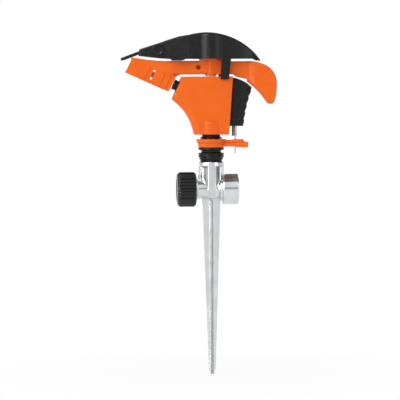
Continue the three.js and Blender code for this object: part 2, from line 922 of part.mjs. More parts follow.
// The tail hangs lower only where it passes behind the body's top corner at full swing.
const tailDropStart = bodyRearTop + 1.3;

function impactArm() {
  const bar = block(barStart, -2, -armBarHalfWidth, armBarHalfWidth, armBottom, armTop);
  const tail = sidePlate(
    [
      [2, armTailBottom + 1],
      [tailDropStart, armTailBottom + 1],
      [tailDropStart + 2.4, armTailBottom - 1.2],
      [beakStart - 4, armTailBottom - 3.3],
      [beakStart + 1, armTailBottom - 3.6],
      [beakStart + 1, armTop - 0.6],
      [2, armTop - 0.6],
    ],
    -armTailHalfWidth,
    armTailHalfWidth,
  );
  const beak = sidePlate(beakOutline(), -beakHalfWidth, beakHalfWidth);
  const hub = turned([
    [0, bodyTop + bushingFlangeThickness + 2 * seat],
    [armHubRadius, bodyTop + bushingFlangeThickness + 2 * seat],
    [armHubRadius, armHubTop],
    [armCupRadius, armHubTop],
    [armCupRadius, armCupTop],
    [armCupRadius - armCupWall, armCupTop],
    [armCupRadius - armCupWall, armCupFloor],
    [0, armCupFloor],
  ]);
  const lugMiddle = legFront + legWidth / 2;
  const lugHeight = (armBottom + armTop) / 2;
  const stopLug = block(
    lugMiddle - stopLugLength / 2,
    lugMiddle + stopLugLength / 2,
    -legInner + fit,
    0,
    lugHeight - stopLugHeight / 2,
    lugHeight + stopLugHeight / 2,
  );
  const place = shifted(axisY, armHole.x, 0, armBottom + armHole.rise);
  const sideHole = rod(armHole.radius, -2 * armBarHalfWidth, 2 * armBarHalfWidth, place, 20);
  const bore = rod(armPinRadius + bushingWall + 2 * fit, bodyTop, armCupTop + 1);
  return joined([bar, tail, beak, hub, stopLug, spoon()]).subtract(sideHole).subtract(bore);
}

function armBushing() {
  const bottom = bodyTop + seat;
  const outer = armPinRadius + bushingWall + fit;
  return turned([
    [armPinRadius + fit / 2, bottom],
    [bushingFlangeRadius, bottom],
    [bushingFlangeRadius, bottom + bushingFlangeThickness],
    [outer, bottom + bushingFlangeThickness],
    [outer, armHubTop],
    [armPinRadius + fit / 2, armHubTop],
  ]);
}

function armSpring() {
  const bottom = armCupFloor + fit;
  return coil(armSpringRadius, springWireRadius, bottom, bottom + armSpringHeight, armSpringTurns);
}

// ---------------------------------------------------------------- bridge over the arm

// The dome from the side, drawn smaller all round by the inset.
function domeSide(inset, bottom) {
  const shape = new THREE.Shape();
  const front = bridgeFront + inset;
  const top = bridgeTop - inset;
  const rear = bridgeRear - 1.6 * inset;
  shape.moveTo(front, bottom);
  shape.lineTo(rear - 8, bottom);
  if (inset === 0) shape.lineTo(rear - 2.6, bridgeBottom - 2);
  shape.lineTo(rear, Math.max(bottom, bridgeBottom - 0.8));
  shape.bezierCurveTo(rear - 15, bridgeTop - 9 - inset, rear - 37.5, top, -3.6, top);
  shape.quadraticCurveTo(-13, top, front, top - 2.6);
  return shape;
}

// The dome from above: flat sides, a round bulge over the pivot, and a tail that narrows.
function domePlan(inset) {
  const shape = new THREE.Shape();
  const half = bridgeHalfWidth - inset;
  const radius = bridgeBulgeRadius - inset;
  const bulge = Math.sqrt(radius ** 2 - half ** 2);
  const angle = Math.atan2(half, bulge);
  const front = bridgeFront + inset;
  const rear = bridgeRear - 1.6 * inset;
  shape.moveTo(front, -half);
  shape.lineTo(-bulge, -half);
  shape.absarc(0, 0, radius, Math.PI + angle, -angle, false);
  shape.lineTo(legFront + legWidth + 3, -half);
  shape.quadraticCurveTo(rear - 6, -half + 2, rear, -3);
  shape.lineTo(rear, 3);
  shape.quadraticCurveTo(rear - 6, half - 2, legFront + legWidth + 3, half);
  shape.lineTo(bulge, half);
  shape.absarc(0, 0, radius, angle, Math.PI - angle, false);
  shape.lineTo(front, half);
  return shape;
}

function leg(side) {
  const [inner, outer] = [side * legInner, side * bridgeHalfWidth];
  const [low, high] = [Math.min(inner, outer), Math.max(inner, outer)];
  const rear = legFront + legWidth;
  const strip = sidePlate(
    [
      [legFront - 1.3, legBottom],
      [rear - 1, legBottom],
      [rear + 0.4, bridgeBottom + bridgeWall],
      [legFront + 1, bridgeBottom + bridgeWall],
    ],
    low,
    high,
  );
  const [footIn, footOut] = [side * (bodyHalfWidth + seat), side * (legInner + legThickness / 2)];
  const foot = block(
    legFront - 1.2,
    rear - 1.2,
    Math.min(footIn, footOut),
    Math.max(footIn, footOut),
    legBottom,
    bodyTop - 0.4,
  );
  return strip.add(foot);
}

function bridgeCover() {
  const high = bridgeTop + 5;
  const outside = sidePlate(domeSide(0, bridgeBottom), -30, 30).intersect(planPlate(domePlan(0), 0, high));
  const inside = sidePlate(domeSide(bridgeWall, bridgeBottom - 10), -30, 30).intersect(
    planPlate(domePlan(bridgeWall), 0, high),
  );
  const boss = rod(pinBossRadius, bridgeTop - bridgeWall - pinBossHeight, bridgeTop - bridgeWall / 2);
  const pinHole = rod(armPinRadius + seat, bridgeBottom, armPinTop + seat);
  return joined([outside.subtract(inside), boss, leg(-1), leg(1)]).subtract(pinHole);
}

// ---------------------------------------------------------------- bonnet and deflector flap

const bonnetRear = bridgeFront - fit;
const bonnetRearHalfWidth = bridgeHalfWidth - 0.2;

function bonnetSide() {
  return [
    [bonnetNose, bonnetNoseBottom],
    [flapPivot.x + 2, bridgeBottom + 0.8],
    [bonnetLugFront - 0.5, bridgeBottom],
    [bonnetLugFront, bridgeBottom - bonnetLugDrop],
    [bonnetLugRear, bridgeBottom - bonnetLugDrop],
    [bonnetLugRear + 0.5, bridgeBottom],
    [bonnetRear, bridgeBottom],
    [bonnetRear, bridgeTop - 2.8],
    [-34, bridgeTop - 4.8],
    [bonnetNose + 2, bonnetNoseTop],
    [bonnetNose, bonnetNoseTop - 2],
  ];
}

function bonnetPlan(inset) {
  return [
    [bonnetNose - (inset ? 5 : 0), -bonnetNoseHalfWidth + inset],
    [bonnetRear - inset, -bonnetRearHalfWidth + inset],
    [bonnetRear - inset, bonnetRearHalfWidth - inset],
    [bonnetNose - (inset ? 5 : 0), bonnetNoseHalfWidth - inset],
  ];
}

function bonnetHalfWidthAt(x) {
  const share = (x - bonnetNose) / (bonnetRear - bonnetNose);
  return THREE.MathUtils.lerp(bonnetNoseHalfWidth, bonnetRearHalfWidth, share);
}

const flapBossReach = bonnetHalfWidthAt(flapPivot.x + flapPinHeadRadius) + flapBossProud;

function frontBonnet() {
  const outside = sidePlate(bonnetSide(), -30, 30).intersect(planPlate(bonnetPlan(0), 0, bridgeTop + 5));
  const between = planPlate(bonnetPlan(bonnetWall), 0, bridgeTop + 5);
  const underRoof = sidePlate(
    [
      [bonnetNose - 5, bridgeBottom - 10],
      [bonnetRear - bonnetWall, bridgeBottom - 10],
      [bonnetRear - bonnetWall, bridgeTop - 2.8 - bonnetWall],
      [-34, bridgeTop - 4.8 - bonnetWall],
      [bonnetRoofFront, bonnetRoofFrontTop - bonnetWall],
      [bonnetRoofFront, bridgeTop],
      [bonnetNose - 5, bridgeTop],
    ],
    -30,
    30,
  );
  const across = shifted(axisY, flapPivot.x, 0, flapPivot.z);
  const innerHalf = bonnetHalfWidthAt(flapPivot.x - flapPinHeadRadius) - bonnetWall;
  const boss = (side) => {
    const ends = [side * (innerHalf + 1), side * flapBossReach];
    return rod(flapPinHeadRadius + 0.3, Math.min(...ends), Math.max(...ends), across);
  };
  const pinHole = rod(flapPinRadius + seat, -30, 30, across);
  return outside
    .subtract(between.intersect(underRoof))
    .add(boss(-1).add(boss(1)).subtract(between))
    .subtract(pinHole);
}

// In the flap's own frame the pivot is the origin.
function deflectorFlap() {
  const slope = Math.tan(radians(flapSlope));
  const reach = flapReach - flapPivot.x;
  const lift = flapHubRadius / Math.cos(radians(flapSlope));
  const plate = sidePlate(
    [
      [reach, lift + reach * slope],
      [reach + 0.6, lift + reach * slope - flapThickness * 0.8],
      [0, lift - flapThickness * 1.3],
      [0, lift],
    ],
    -flapHalfWidth,
    flapHalfWidth,
  );
  const hubHalf = bonnetHalfWidthAt(flapPivot.x - flapHubRadius) - bonnetWall - fit;
  const hub = rod(flapHubRadius, -hubHalf, hubHalf, axisY, 28);
  return plate.add(hub).subtract(rod(flapPinRadius + seat, -30, 30, axisY, 28));
}

function deflectorPin() {
  const head = flapBossReach + seat;
  return turned(
    [
      [0, -head - flapPinHeadThickness],
      [flapPinHeadRadius - 0.4, -head - flapPinHeadThickness],
      [flapPinHeadRadius, -head - flapPinHeadThickness + 0.4],
      [flapPinHeadRadius, -head],
      [flapPinRadius, -head],
      [flapPinRadius, flapBossReach],
      [0, flapBossReach],
    ],
    axisY,
    32,
  );
}

// ---------------------------------------------------------------- trip lever and wire

function bodyRearAt(z) {
  const share = (z - bodyBottom) / (bodyTop - bodyBottom);
  return THREE.MathUtils.lerp(bodyRearBottom, bodyRearTop, share);
}

const fingerFront = wireX - wireSleeveRadius - 2 * seat - 1.5;

// The lever from the side: a wedge with grip ridges down its back.
function tripOutline() {
  const shape = new THREE.Shape();
  shape.moveTo(bodyRearAt(tripBottom) + tripGap, tripBottom);
  shape.lineTo(tripRearBottom - 1.5, tripBottom);
  const ridgeTop = tripTop - 12.2;
  for (let i = 0; i < tripRidgeCount; i++) {
    const at = (share) => {
      const t = (i + share) / tripRidgeCount;
      const bow = 4 * t * (1 - t);
      const x = THREE.MathUtils.lerp(tripRearBottom, tripRearTop, t) - 1.3 * bow;
      return [x, THREE.MathUtils.lerp(tripBottom + 1, ridgeTop, t)];
    };
    const [lowX, lowZ] = at(0.05);
    const [midX, midZ] = at(0.45);
    const [highX, highZ] = at(0.85);
    shape.lineTo(lowX, lowZ);
    shape.lineTo(midX, midZ);
    shape.lineTo(highX - tripRidgeDepth, highZ);
  }
  shape.lineTo(tripRearTop, tripTop - 10.2);
  const frontTop = bodyRearAt(tripTop) + tripGap;
  shape.quadraticCurveTo(tripRearTop - 7, tripTop - 3, frontTop, tripTop);
  return shape;
}

const tripPinEnd = tripPivot.x + tripPinLength - tripPinDepth;

function tripLever() {
  const half = tripHalfWidth;
  const wedge = sidePlate(tripOutline(), -half, half);
  const fingerRear = fingerFront + 1.5;
  const finger = block(fingerFront, fingerRear, -2.2, 2.2, wireSleeveBottom, tripBottom + 1);
  const slotHalf = wireSleeveRadius + fit;
  const slotTop = wirePivotHeight + wireSleeveRadius + 2 * fit;
  const slot = block(fingerRear, 2 * tripRearTop, -slotHalf, slotHalf, wireSleeveBottom, slotTop);
  const pinHole = rod(tripPinRadius + seat, 10, tripPinEnd + fit, tripAxis(), 28);
  const pocketFloor = tripPivot.z + tripPocketRise;
  const springPocket = block(
    tripPivot.x - tripPinDepth,
    tripPocketRear,
    -tripPocketHalfWidth,
    tripPocketHalfWidth,
    pocketFloor,
    pocketFloor + tripPocketHeight,
  );
  const wireHole = rod(wirePinRadius + seat, -20, 20, shifted(axisY, wireX, 0, wirePivotHeight), 16);
  return wedge.add(finger).subtract(slot).subtract(pinHole).subtract(springPocket).subtract(wireHole);
}

function tripPin() {
  return rod(tripPinRadius, tripPivot.x - tripPinDepth, tripPinEnd, tripAxis(), 28);
}

// A small coil in the lever's pocket, beside the pivot.
function tripSpring() {
  const floor = tripPivot.z + tripPocketRise;
  const roof = floor + tripPocketHeight;
  const place = bodyRearAt(tripPivot.z) + tripGap + 3.6;
  const spring = coil(tripSpringRadius, tripWireRadius, floor + fit, roof - fit, tripSpringTurns, 8, 3);
  return spring.translate([place, 0, 0]);
}

function wirePin() {
  return rod(wirePinRadius, -tripHalfWidth + 0.2, tripHalfWidth - 0.2, axisY, 16);
}

// In the wire's own frame its pivot is the origin, and it hangs down.
function wireSleeve() {
  const bottom = wireSleeveBottom - wirePivotHeight;
  const eye = rod(wireSleeveRadius, -wireSleeveRadius, wireSleeveRadius, axisY, 24);
  const barrel = rod(wireSleeveRadius, bottom, 0, axisZ, 24);
  const wireHole = rod(wireRadius + seat, bottom - 1, -wireSleeveRadius - 1.5, axisZ, 16);
  const pinHole = rod(wirePinRadius + seat, -5, 5, axisY, 16);
  return eye.add(barrel).subtract(wireHole).subtract(pinHole);
}

function tripWire() {
  const top = -wireSleeveRadius - 1.5 - seat;
  return rod(wireRadius, wireBottom - wirePivotHeight, top, axisZ, 16);
}

// ---------------------------------------------------------------- assembly

const washerNames = ["thrust_washer_lower", "thrust_washer_seal", "thrust_washer_upper"];

const base = group(
  0,
  0,
  0,
  part("spike_casting", spikeCasting(), "zinc"),
  part("bearing_nipple", bearingNipple(), "black"),
  part("nipple_gasket", nippleGasket(), "rubber"),
  part("upper_trip_collar", upperCollar(), "orange"),
  part("lower_trip_collar", lowerCollar(), "orange"),
);

const onCrossTube = group(
  0,
  0,
  tubeAxisHeight,
  part("inlet_hose_washer", hoseWasher(), "rubber"),
  part("outlet_cap", outletCap(), "black"),
  part("cap_gasket", capGasket(), "rubber"),
);

const nozzleGroup = group(
  nozzleSeat.x,
  0,
  nozzleSeat.z,
  part("nozzle", nozzle(), "black"),
  part("nozzle_o_ring", nozzleRing(), "rubber"),
);
nozzleGroup.rotation.y = Math.PI + radians(jetElevation);

const arm = group(
  0,
  0,
  0,
  part("impact_arm", impactArm(), "orange"),
  part("arm_bushing", armBushing(), "nylon"),
  part("arm_pivot_pin", rod(armPinRadius, armPinBottom, armPinTop, axisZ, 28), "steel"),
  part("arm_return_spring", armSpring(), "steel"),
);

const flap = group(
  flapPivot.x,
  0,
  flapPivot.z,
  part("deflector_flap", deflectorFlap(), "black"),
  part("deflector_pivot_pin", deflectorPin(), "black"),
);

const wire = group(
  wireX,
  0,
  wirePivotHeight,
  part("wire_sleeve", wireSleeve(), "steel"),
  part("trip_wire", tripWire(), "steel"),
  part("wire_pivot_pin", wirePin(), "steel"),
);

const head = group(
  0,
  0,
  0,
  part("head_body", headBody(), "orange"),
  part("stem_tube", stemTube(), "brass"),
  part("stem_spring", stemSpring(), "steel"),
  part("spring_sleeve", springSleeve(), "black"),
  part("bridge_cover", bridgeCover(), "black"),
  part("front_bonnet", frontBonnet(), "black"),
  part("trip_lever", tripLever(), "black"),
  part("trip_pivot_pin", tripPin(), "steel"),
  part("trip_spring", tripSpring(), "steel"),
  ...washerNames.map((name, i) => part(name, thrustWasher(i), i === 1 ? "rubber" : "nylon")),
  nozzleGroup,
  arm,
  flap,
  wire,
);

const sprinkler = group(0, 0, 0, base, onCrossTube, head);

export default sprinkler;
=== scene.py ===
"""An impact sprinkler on a ground spike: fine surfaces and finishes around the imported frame.

The frame is in metres. The shapes here are worked out in millimetres and scaled when a mesh is made.
The jet points along -X, the hose comes in from +X, the near side is -Y and +Z is up.
"""

import json
import math

import bmesh
import bpy
import numpy as np
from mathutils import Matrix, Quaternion, Vector


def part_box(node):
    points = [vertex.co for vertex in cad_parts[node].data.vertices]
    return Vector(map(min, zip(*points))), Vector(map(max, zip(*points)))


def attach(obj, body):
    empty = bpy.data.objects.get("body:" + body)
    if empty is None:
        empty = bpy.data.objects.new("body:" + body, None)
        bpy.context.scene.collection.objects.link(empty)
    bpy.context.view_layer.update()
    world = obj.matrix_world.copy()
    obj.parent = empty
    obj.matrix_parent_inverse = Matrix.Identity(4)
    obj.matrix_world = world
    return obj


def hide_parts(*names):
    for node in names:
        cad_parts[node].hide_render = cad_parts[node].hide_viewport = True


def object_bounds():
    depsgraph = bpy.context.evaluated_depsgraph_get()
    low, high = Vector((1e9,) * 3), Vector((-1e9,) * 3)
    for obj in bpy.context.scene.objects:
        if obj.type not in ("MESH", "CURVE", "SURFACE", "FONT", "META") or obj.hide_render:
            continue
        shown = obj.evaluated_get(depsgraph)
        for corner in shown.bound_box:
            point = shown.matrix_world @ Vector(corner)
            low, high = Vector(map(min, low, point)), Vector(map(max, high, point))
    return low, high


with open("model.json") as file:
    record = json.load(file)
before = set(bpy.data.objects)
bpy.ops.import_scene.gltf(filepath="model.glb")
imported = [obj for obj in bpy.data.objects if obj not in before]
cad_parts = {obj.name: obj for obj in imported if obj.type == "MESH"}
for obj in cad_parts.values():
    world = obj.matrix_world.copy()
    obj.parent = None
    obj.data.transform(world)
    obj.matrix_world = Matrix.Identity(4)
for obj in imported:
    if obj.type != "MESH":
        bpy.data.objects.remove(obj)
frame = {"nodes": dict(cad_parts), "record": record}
cad_low, cad_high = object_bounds()

MM = 0.001
EDGE_STEPS = 4
SMOOTH_ANGLE = math.radians(34)
RISER_RADIUS, PANEL_DEPTH = 11.4, 1.4


def box_mm(node):
    """A CAD node's lowest and highest corners in millimetres."""
    low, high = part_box(node)
    return np.array(low) / MM, np.array(high) / MM


# ---------------------------------------------------------------- surfaces as arrays


def grid_faces(rows, columns, close_rows=False, close_columns=False):
    """Quads between neighbouring rows and columns of points that are numbered row by row."""
    row = np.arange(rows if close_rows else rows - 1)
    column = np.arange(columns if close_columns else columns - 1)
    r0, c0 = np.meshgrid(row, column, indexing="ij")
    r1, c1 = (r0 + 1) % rows, (c0 + 1) % columns
    quads = [r0 * columns + c0, r0 * columns + c1, r1 * columns + c1, r1 * columns + c0]
    return np.stack(quads, -1).reshape(-1, 4).tolist()


def eased(points, radius, closed=True, steps=EDGE_STEPS):
    """A polyline with each corner P turned into the parabola P + t((1-s)^2 a + s^2 b), s from 0 to 1.

    a and b are the directions to the neighbours, and t is the radius over the tangent of half the angle,
    kept under 0.45 of the shorter side. A point just outside each end of the curve keeps the flats flat.
    """
    points = np.asarray(points, float)
    count = len(points)
    radii = np.broadcast_to(np.asarray(radius, float), (count,))
    share = np.linspace(0, 1, steps + 1)[:, None]
    made = []
    for i, corner in enumerate(points):
        if not closed and i in (0, count - 1):
            made.append(corner[None])
            continue
        to_a, to_b = points[i - 1] - corner, points[(i + 1) % count] - corner
        long_a, long_b = np.hypot(*to_a), np.hypot(*to_b)
        a, b = to_a / long_a, to_b / long_b
        half = math.acos(np.clip(a @ b, -1, 1)) / 2
        if radii[i] <= 0 or half > math.radians(86):
            made.append(corner[None])
            continue
        reach = min(radii[i] / math.tan(half), 0.45 * min(long_a, long_b))
        curve = corner + reach * ((1 - share) ** 2 * a + share**2 * b)
        hold = min(1.12 * reach, 0.47 * min(long_a, long_b))
        made.append(np.vstack([corner + hold * a, curve, corner + hold * b]))
    return np.vstack(made)


def bezier(points, count=48):
    """A Bezier curve through its control points, by repeated straight mixing of neighbours."""
    share = np.linspace(0, 1, count)[:, None]
    level = [np.broadcast_to(np.asarray(p, float), (count, len(p))) for p in points]
    while len(level) > 1:
        level = [a + (b - a) * share for a, b in zip(level, level[1:])]
    return level[0]


def turned(profile, axis="z", segments=96, closed=False, relief=None):
    """A profile of (radius r, place a along the axis) carried round the axis: (r cos t, r sin t, a).

    relief(r, a, t) may give the radius a pattern, such as ribs or a thread.
    """
    r, a = np.asarray(profile, float).T
    t = np.arange(segments) * 2 * np.pi / segments
    radius, angle = np.meshgrid(r, t, indexing="ij")
    along = np.broadcast_to(a[:, None], radius.shape)
    if relief:
        radius = relief(radius, along, angle)
    u, v = radius * np.cos(angle), radius * np.sin(angle)
    order = {"z": (u, v, along), "x": (along, u, v), "y": (v, along, u)}[axis]
    return np.stack(order, -1).reshape(-1, 3), grid_faces(len(r), segments, closed, True)


def rod(radius, start, end, axis="z", segments=64):
    """A plain round rod between two places along an axis through the origin."""
    return turned([(0, start), (radius, start), (radius, end), (0, end)], axis, segments)


def moved(made, offset):
    """The same solid, shifted by an offset in X, Y and Z."""
    points, faces = made
    return points + np.asarray(offset, float), faces


def loft(rings):
    """A skin through closed rings of points, (ring, point, xyz), with the first and last ring filled."""
    count, ring = rings.shape[:2]
    faces = grid_faces(count, ring, False, True)
    faces += [list(range(ring)), list(range((count - 1) * ring, count * ring))]
    return rings.reshape(-1, 3), faces


def spaced(length, edge, count, steps=EDGE_STEPS):
    """Places from 0 to each length: edge (1 - cos) within one edge of both ends, and even between."""
    length = np.atleast_1d(np.asarray(length, float))
    edge = np.minimum(edge, 0.45 * length)
    arc = (1 - np.cos(np.linspace(0, np.pi / 2, steps + 1)))[:, None]
    middle = np.linspace(0, 1, count + 2)[1:-1, None]
    parts = [arc * edge, edge + (length - 2 * edge) * middle, length - arc[::-1] * edge]
    return np.vstack(parts), edge


def slab(edge_a, edge_b, half, edge, columns=40, rows=8, relief=None, middle=0.0):
    """A plate with rounded edges between two side curves in X and Z, given as functions of a share s.

    A point in the plate is the straight mix of both curves' points at the same s. Its distance from the
    middle plane is half + relief(x, z) - r (1 - sqrt(1 - q^2)), where q grows from 0, one radius r inside
    the outline, to 1 at the outline.
    """
    ends = np.array([0.0, 1.0])
    chords = np.vstack([np.diff(curve(ends), axis=0) for curve in (edge_a, edge_b)])
    length = np.mean(np.hypot(*chords.T))
    places, end_edge = spaced(length, edge, columns)
    s = places[:, 0] / length
    a, b = edge_a(s), edge_b(s)
    span = np.maximum(np.hypot(*(b - a).T), 1e-3)
    across, side_edge = spaced(span, edge, rows)
    share = (across / span)[..., None]
    xz = a + (b - a) * share
    inside = np.minimum(across, span - across) / side_edge
    inside_end = np.minimum(s, 1 - s) * length / end_edge[0]
    q = np.hypot(np.clip(1 - inside, 0, 1), np.clip(1 - inside_end, 0, 1)[None])
    x, z = xz[..., 0], xz[..., 1]
    wide = half(x, z) if callable(half) else half + 0 * x
    if relief is not None:
        wide = wide + relief(x, z)
    wide = wide - edge * (1 - np.sqrt(np.clip(1 - q**2, 0, 1)))
    near = np.stack([x, middle - wide, z], -1)
    far = np.stack([x, middle + wide, z], -1)
    rings = np.concatenate([near, far[::-1]], 0).transpose(1, 0, 2)
    count, ring = rings.shape[:2]
    faces = grid_faces(count, ring, False, True)
    j = np.arange(ring // 2 - 1)
    for start in (0, (count - 1) * ring):
        ladder = np.stack([start + j, start + j + 1, start + ring - 2 - j, start + ring - 1 - j], -1)
        faces += ladder.tolist()
    return rings.reshape(-1, 3), faces


def through(points):
    """A function of a share s that walks evenly along the polyline through the points."""
    points = np.asarray(points, float)
    steps = np.hypot(*np.diff(points, axis=0).T)
    done = np.concatenate([[0], np.cumsum(steps)]) / steps.sum()
    return lambda s: np.stack([np.interp(s, done, points[:, k]) for k in (0, 1)], -1)


def plate(outline, from_y, to_y, edge=0.4, steps=EDGE_STEPS):
    """A flat plate: a closed outline in X and Z carried across Y, drawn in by an arc at both faces."""
    outline = np.asarray(outline, float)
    ahead, behind = np.roll(outline, -1, 0) - outline, outline - np.roll(outline, 1, 0)
    turn = [d[:, ::-1] * [1, -1] / np.maximum(np.hypot(*d.T), 1e-9)[:, None] for d in (ahead, behind)]
    normal = turn[0] + turn[1]
    normal /= np.maximum(np.hypot(*normal.T), 1e-9)[:, None]
    area = np.sum(outline[:, 0] * np.roll(outline[:, 1], -1) - np.roll(outline[:, 0], -1) * outline[:, 1])
    inward = -normal if area > 0 else normal
    angle = np.linspace(0, np.pi / 2, steps + 1)
    inset = np.concatenate([edge * (1 - np.sin(angle)), edge * (1 - np.cos(angle))])
    y = np.concatenate([from_y + edge * (1 - np.cos(angle)), to_y - edge * (1 - np.sin(angle))])
    xz = outline[None] + inward[None] * inset[:, None, None]
    rings = np.stack([xz[..., 0], np.broadcast_to(y[:, None], xz.shape[:2]), xz[..., 1]], -1)
    return loft(rings)


# ---------------------------------------------------------------- pieces


def mesh_object(name, made):
    """Points in millimetres and faces as an object at the origin, poles merged and faces turned outwards."""
    points, faces = made
    mesh = bpy.data.meshes.new(name)
    mesh.from_pydata((np.asarray(points) * MM).tolist(), [], faces)
    work = bmesh.new()
    work.from_mesh(mesh)
    bmesh.ops.remove_doubles(work, verts=work.verts, dist=2e-6)
    bmesh.ops.recalc_face_normals(work, faces=work.faces)
    work.to_mesh(mesh)
    work.free()
    made_object = bpy.data.objects.new(name, mesh)
    bpy.context.scene.collection.objects.link(made_object)
    return made_object


def combine(target, others, operation):
    """Joins solids to the target, or cuts them from it, and keeps only the resulting mesh."""
    for index, made in enumerate(others):
        tool = mesh_object(f"{target.name}_tool_{index}", made)
        modifier = target.modifiers.new(operation, "BOOLEAN")
        modifier.operation = operation
        modifier.solver = "MANIFOLD"
        modifier.object = tool
        ready = target.evaluated_get(bpy.context.evaluated_depsgraph_get())
        mesh = bpy.data.meshes.new_from_object(ready)
        target.modifiers.clear()
        target.data = mesh
        bpy.data.objects.remove(tool)


def piece(name, made, body, node, slot, joined=(), cut=(), finish=None):
    """A finished piece: built, joined and cut, shaded smooth, riding on its body in the CAD node's place.

    Its finish is its slot's own, unless another one is named.
    """
    shown = mesh_object(name, made)
    combine(shown, joined, "UNION")
    combine(shown, cut, "DIFFERENCE")
    mesh = shown.data
    mesh.name = name
    mesh.polygons.foreach_set("use_smooth", np.ones(len(mesh.polygons), bool))
    mesh.set_sharp_from_angle(angle=SMOOTH_ANGLE)
    if joined or cut:
        weighted = shown.modifiers.new("weighted_normals", "WEIGHTED_NORMAL")
        weighted.keep_sharp = True
    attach(shown, body)
    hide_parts(node)
    mesh.materials.clear()
    mesh.materials.append(finishes[finish or slot])
    return shown


# ---------------------------------------------------------------- finishes


def linear(code):
    """An sRGB hex colour as linear red, green, blue and alpha."""
    shares = [int(code[i : i + 2], 16) / 255 for i in (1, 3, 5)]
    return [c / 12.92 if c <= 0.04045 else ((c + 0.055) / 1.055) ** 2.4 for c in shares] + [1.0]


def add(tree, kind, inputs=(), stops=(), **settings):
    """Adds a node, sets its properties and its ramp's (place, colour) stops, and fills its inputs.

    An input takes a value, or another node's output as a link.
    """
    node = tree.nodes.new("ShaderNode" + kind)
    for name, value in settings.items():
        setattr(node, name, value)
    if stops:
        elements = node.color_ramp.elements
        while len(elements) < len(stops):
            elements.new(0.5)
        for element, (place, colour) in zip(elements, stops):
            element.position = place
            element.color = colour
    for name, value in dict(inputs).items():
        if isinstance(value, bpy.types.NodeSocket):
            tree.links.new(value, node.inputs[name])
        else:
            node.inputs[name].default_value = value
    return node


def per_mm(size):
    """The scale that makes a pattern repeat about every size millimetres on Object coordinates."""
    return 1 / (size * MM)


def new_material(name):
    """An empty node material and its tree."""
    material = bpy.data.materials.new(name)
    material.use_nodes = True
    material.node_tree.nodes.clear()
    return material, material.node_tree


def moulded(name, light, dark, roughness, ior, grain, grain_depth, specular=0.26):
    """Moulded plastic: faint flow clouds in the colour, a fine spark-eroded grain and soft sink marks.

    The grain's size and depth are in millimetres; clouds are 28 mm, sinks 16 mm and worn patches 6 mm.
    """
    material, tree = new_material(name)
    place = add(tree, "TexCoord").outputs["Object"]
    clouds = add(tree, "TexNoise", {"Vector": place, "Scale": per_mm(28), "Detail": 3.0})
    tones = [(0.35, linear(dark)), (0.65, linear(light))]
    colour = add(tree, "ValToRGB", {"Fac": clouds.outputs["Fac"]}, tones)
    fine = add(tree, "TexNoise", {"Vector": place, "Scale": per_mm(grain), "Detail": 2.0})
    worn = add(tree, "TexNoise", {"Vector": place, "Scale": per_mm(6), "Detail": 4.0})
    rough = add(tree, "MapRange", {"Value": worn.outputs["Fac"], "From Min": 0.3, "From Max": 0.7,
                                   "To Min": roughness - 0.05, "To Max": roughness + 0.06})
    sink = add(tree, "TexNoise", {"Vector": place, "Scale": per_mm(16), "Detail": 1.0})
    wavy = add(tree, "Bump", {"Height": sink.outputs["Fac"], "Strength": 0.25, "Distance": 0.3 * MM})
    relief = add(tree, "Bump", {"Height": fine.outputs["Fac"], "Strength": 0.5,
                                "Distance": grain_depth * MM, "Normal": wavy.outputs["Normal"]})
    shader = add(tree, "BsdfPrincipled", {"Base Color": colour.outputs["Color"], "IOR": ior,
                                          "Roughness": rough.outputs["Result"],
                                          "Specular IOR Level": specular, "Normal": relief.outputs["Normal"]})
    add(tree, "OutputMaterial", {"Surface": shader.outputs["BSDF"]})
    return material


def panel_shade_and_blade_mask(tree, place):
    """A mask for painted shade: one in the riser's sunk panels, where it stands for the shade in those
    recesses, and 0.75 on the spike's two parting blades, whose edges it darkens; zero elsewhere.

    The panels are near the axis and above the tube; the blades are narrow in X, out in Y and under the tube.
    """
    panel_edge, blade_half, blade_root = RISER_RADIUS - PANEL_DEPTH + 0.4, 0.9, 2.0
    parts = add(tree, "SeparateXYZ", {0: place}).outputs
    flat = add(tree, "CombineXYZ", {"X": parts["X"], "Y": parts["Y"]})
    out = add(tree, "VectorMath", {0: flat.outputs[0]}, operation="LENGTH")
    near = add(tree, "MapRange", {"Value": out.outputs["Value"], "From Min": panel_edge * MM,
                                  "From Max": (panel_edge + 0.5) * MM, "To Min": 1.0, "To Max": 0.0})
    above = add(tree, "MapRange", {"Value": parts["Z"], "From Min": 8 * MM, "From Max": 12 * MM})
    panel = add(tree, "Math", {0: near.outputs[0], 1: above.outputs[0]}, operation="MULTIPLY")
    aside = add(tree, "Math", {0: parts["X"]}, operation="ABSOLUTE")
    ahead = add(tree, "Math", {0: parts["Y"]}, operation="ABSOLUTE")
    narrow = add(tree, "MapRange", {"Value": aside.outputs[0], "From Min": blade_half * MM,
                                    "From Max": (blade_half + 0.2) * MM, "To Min": 1.0, "To Max": 0.0})
    outer = add(tree, "MapRange", {"Value": ahead.outputs[0], "From Min": blade_root * MM,
                                   "From Max": (blade_root + 0.4) * MM})
    below = add(tree, "MapRange", {"Value": parts["Z"], "From Min": 2 * MM, "From Max": -1 * MM,
                                   "To Max": 0.75})
    blade = add(tree, "Math", {0: narrow.outputs[0], 1: outer.outputs[0]}, operation="MULTIPLY")
    blade = add(tree, "Math", {0: blade.outputs[0], 1: below.outputs[0]}, operation="MULTIPLY")
    return add(tree, "Math", {0: panel.outputs[0], 1: blade.outputs[0]}, operation="MAXIMUM").outputs[0]


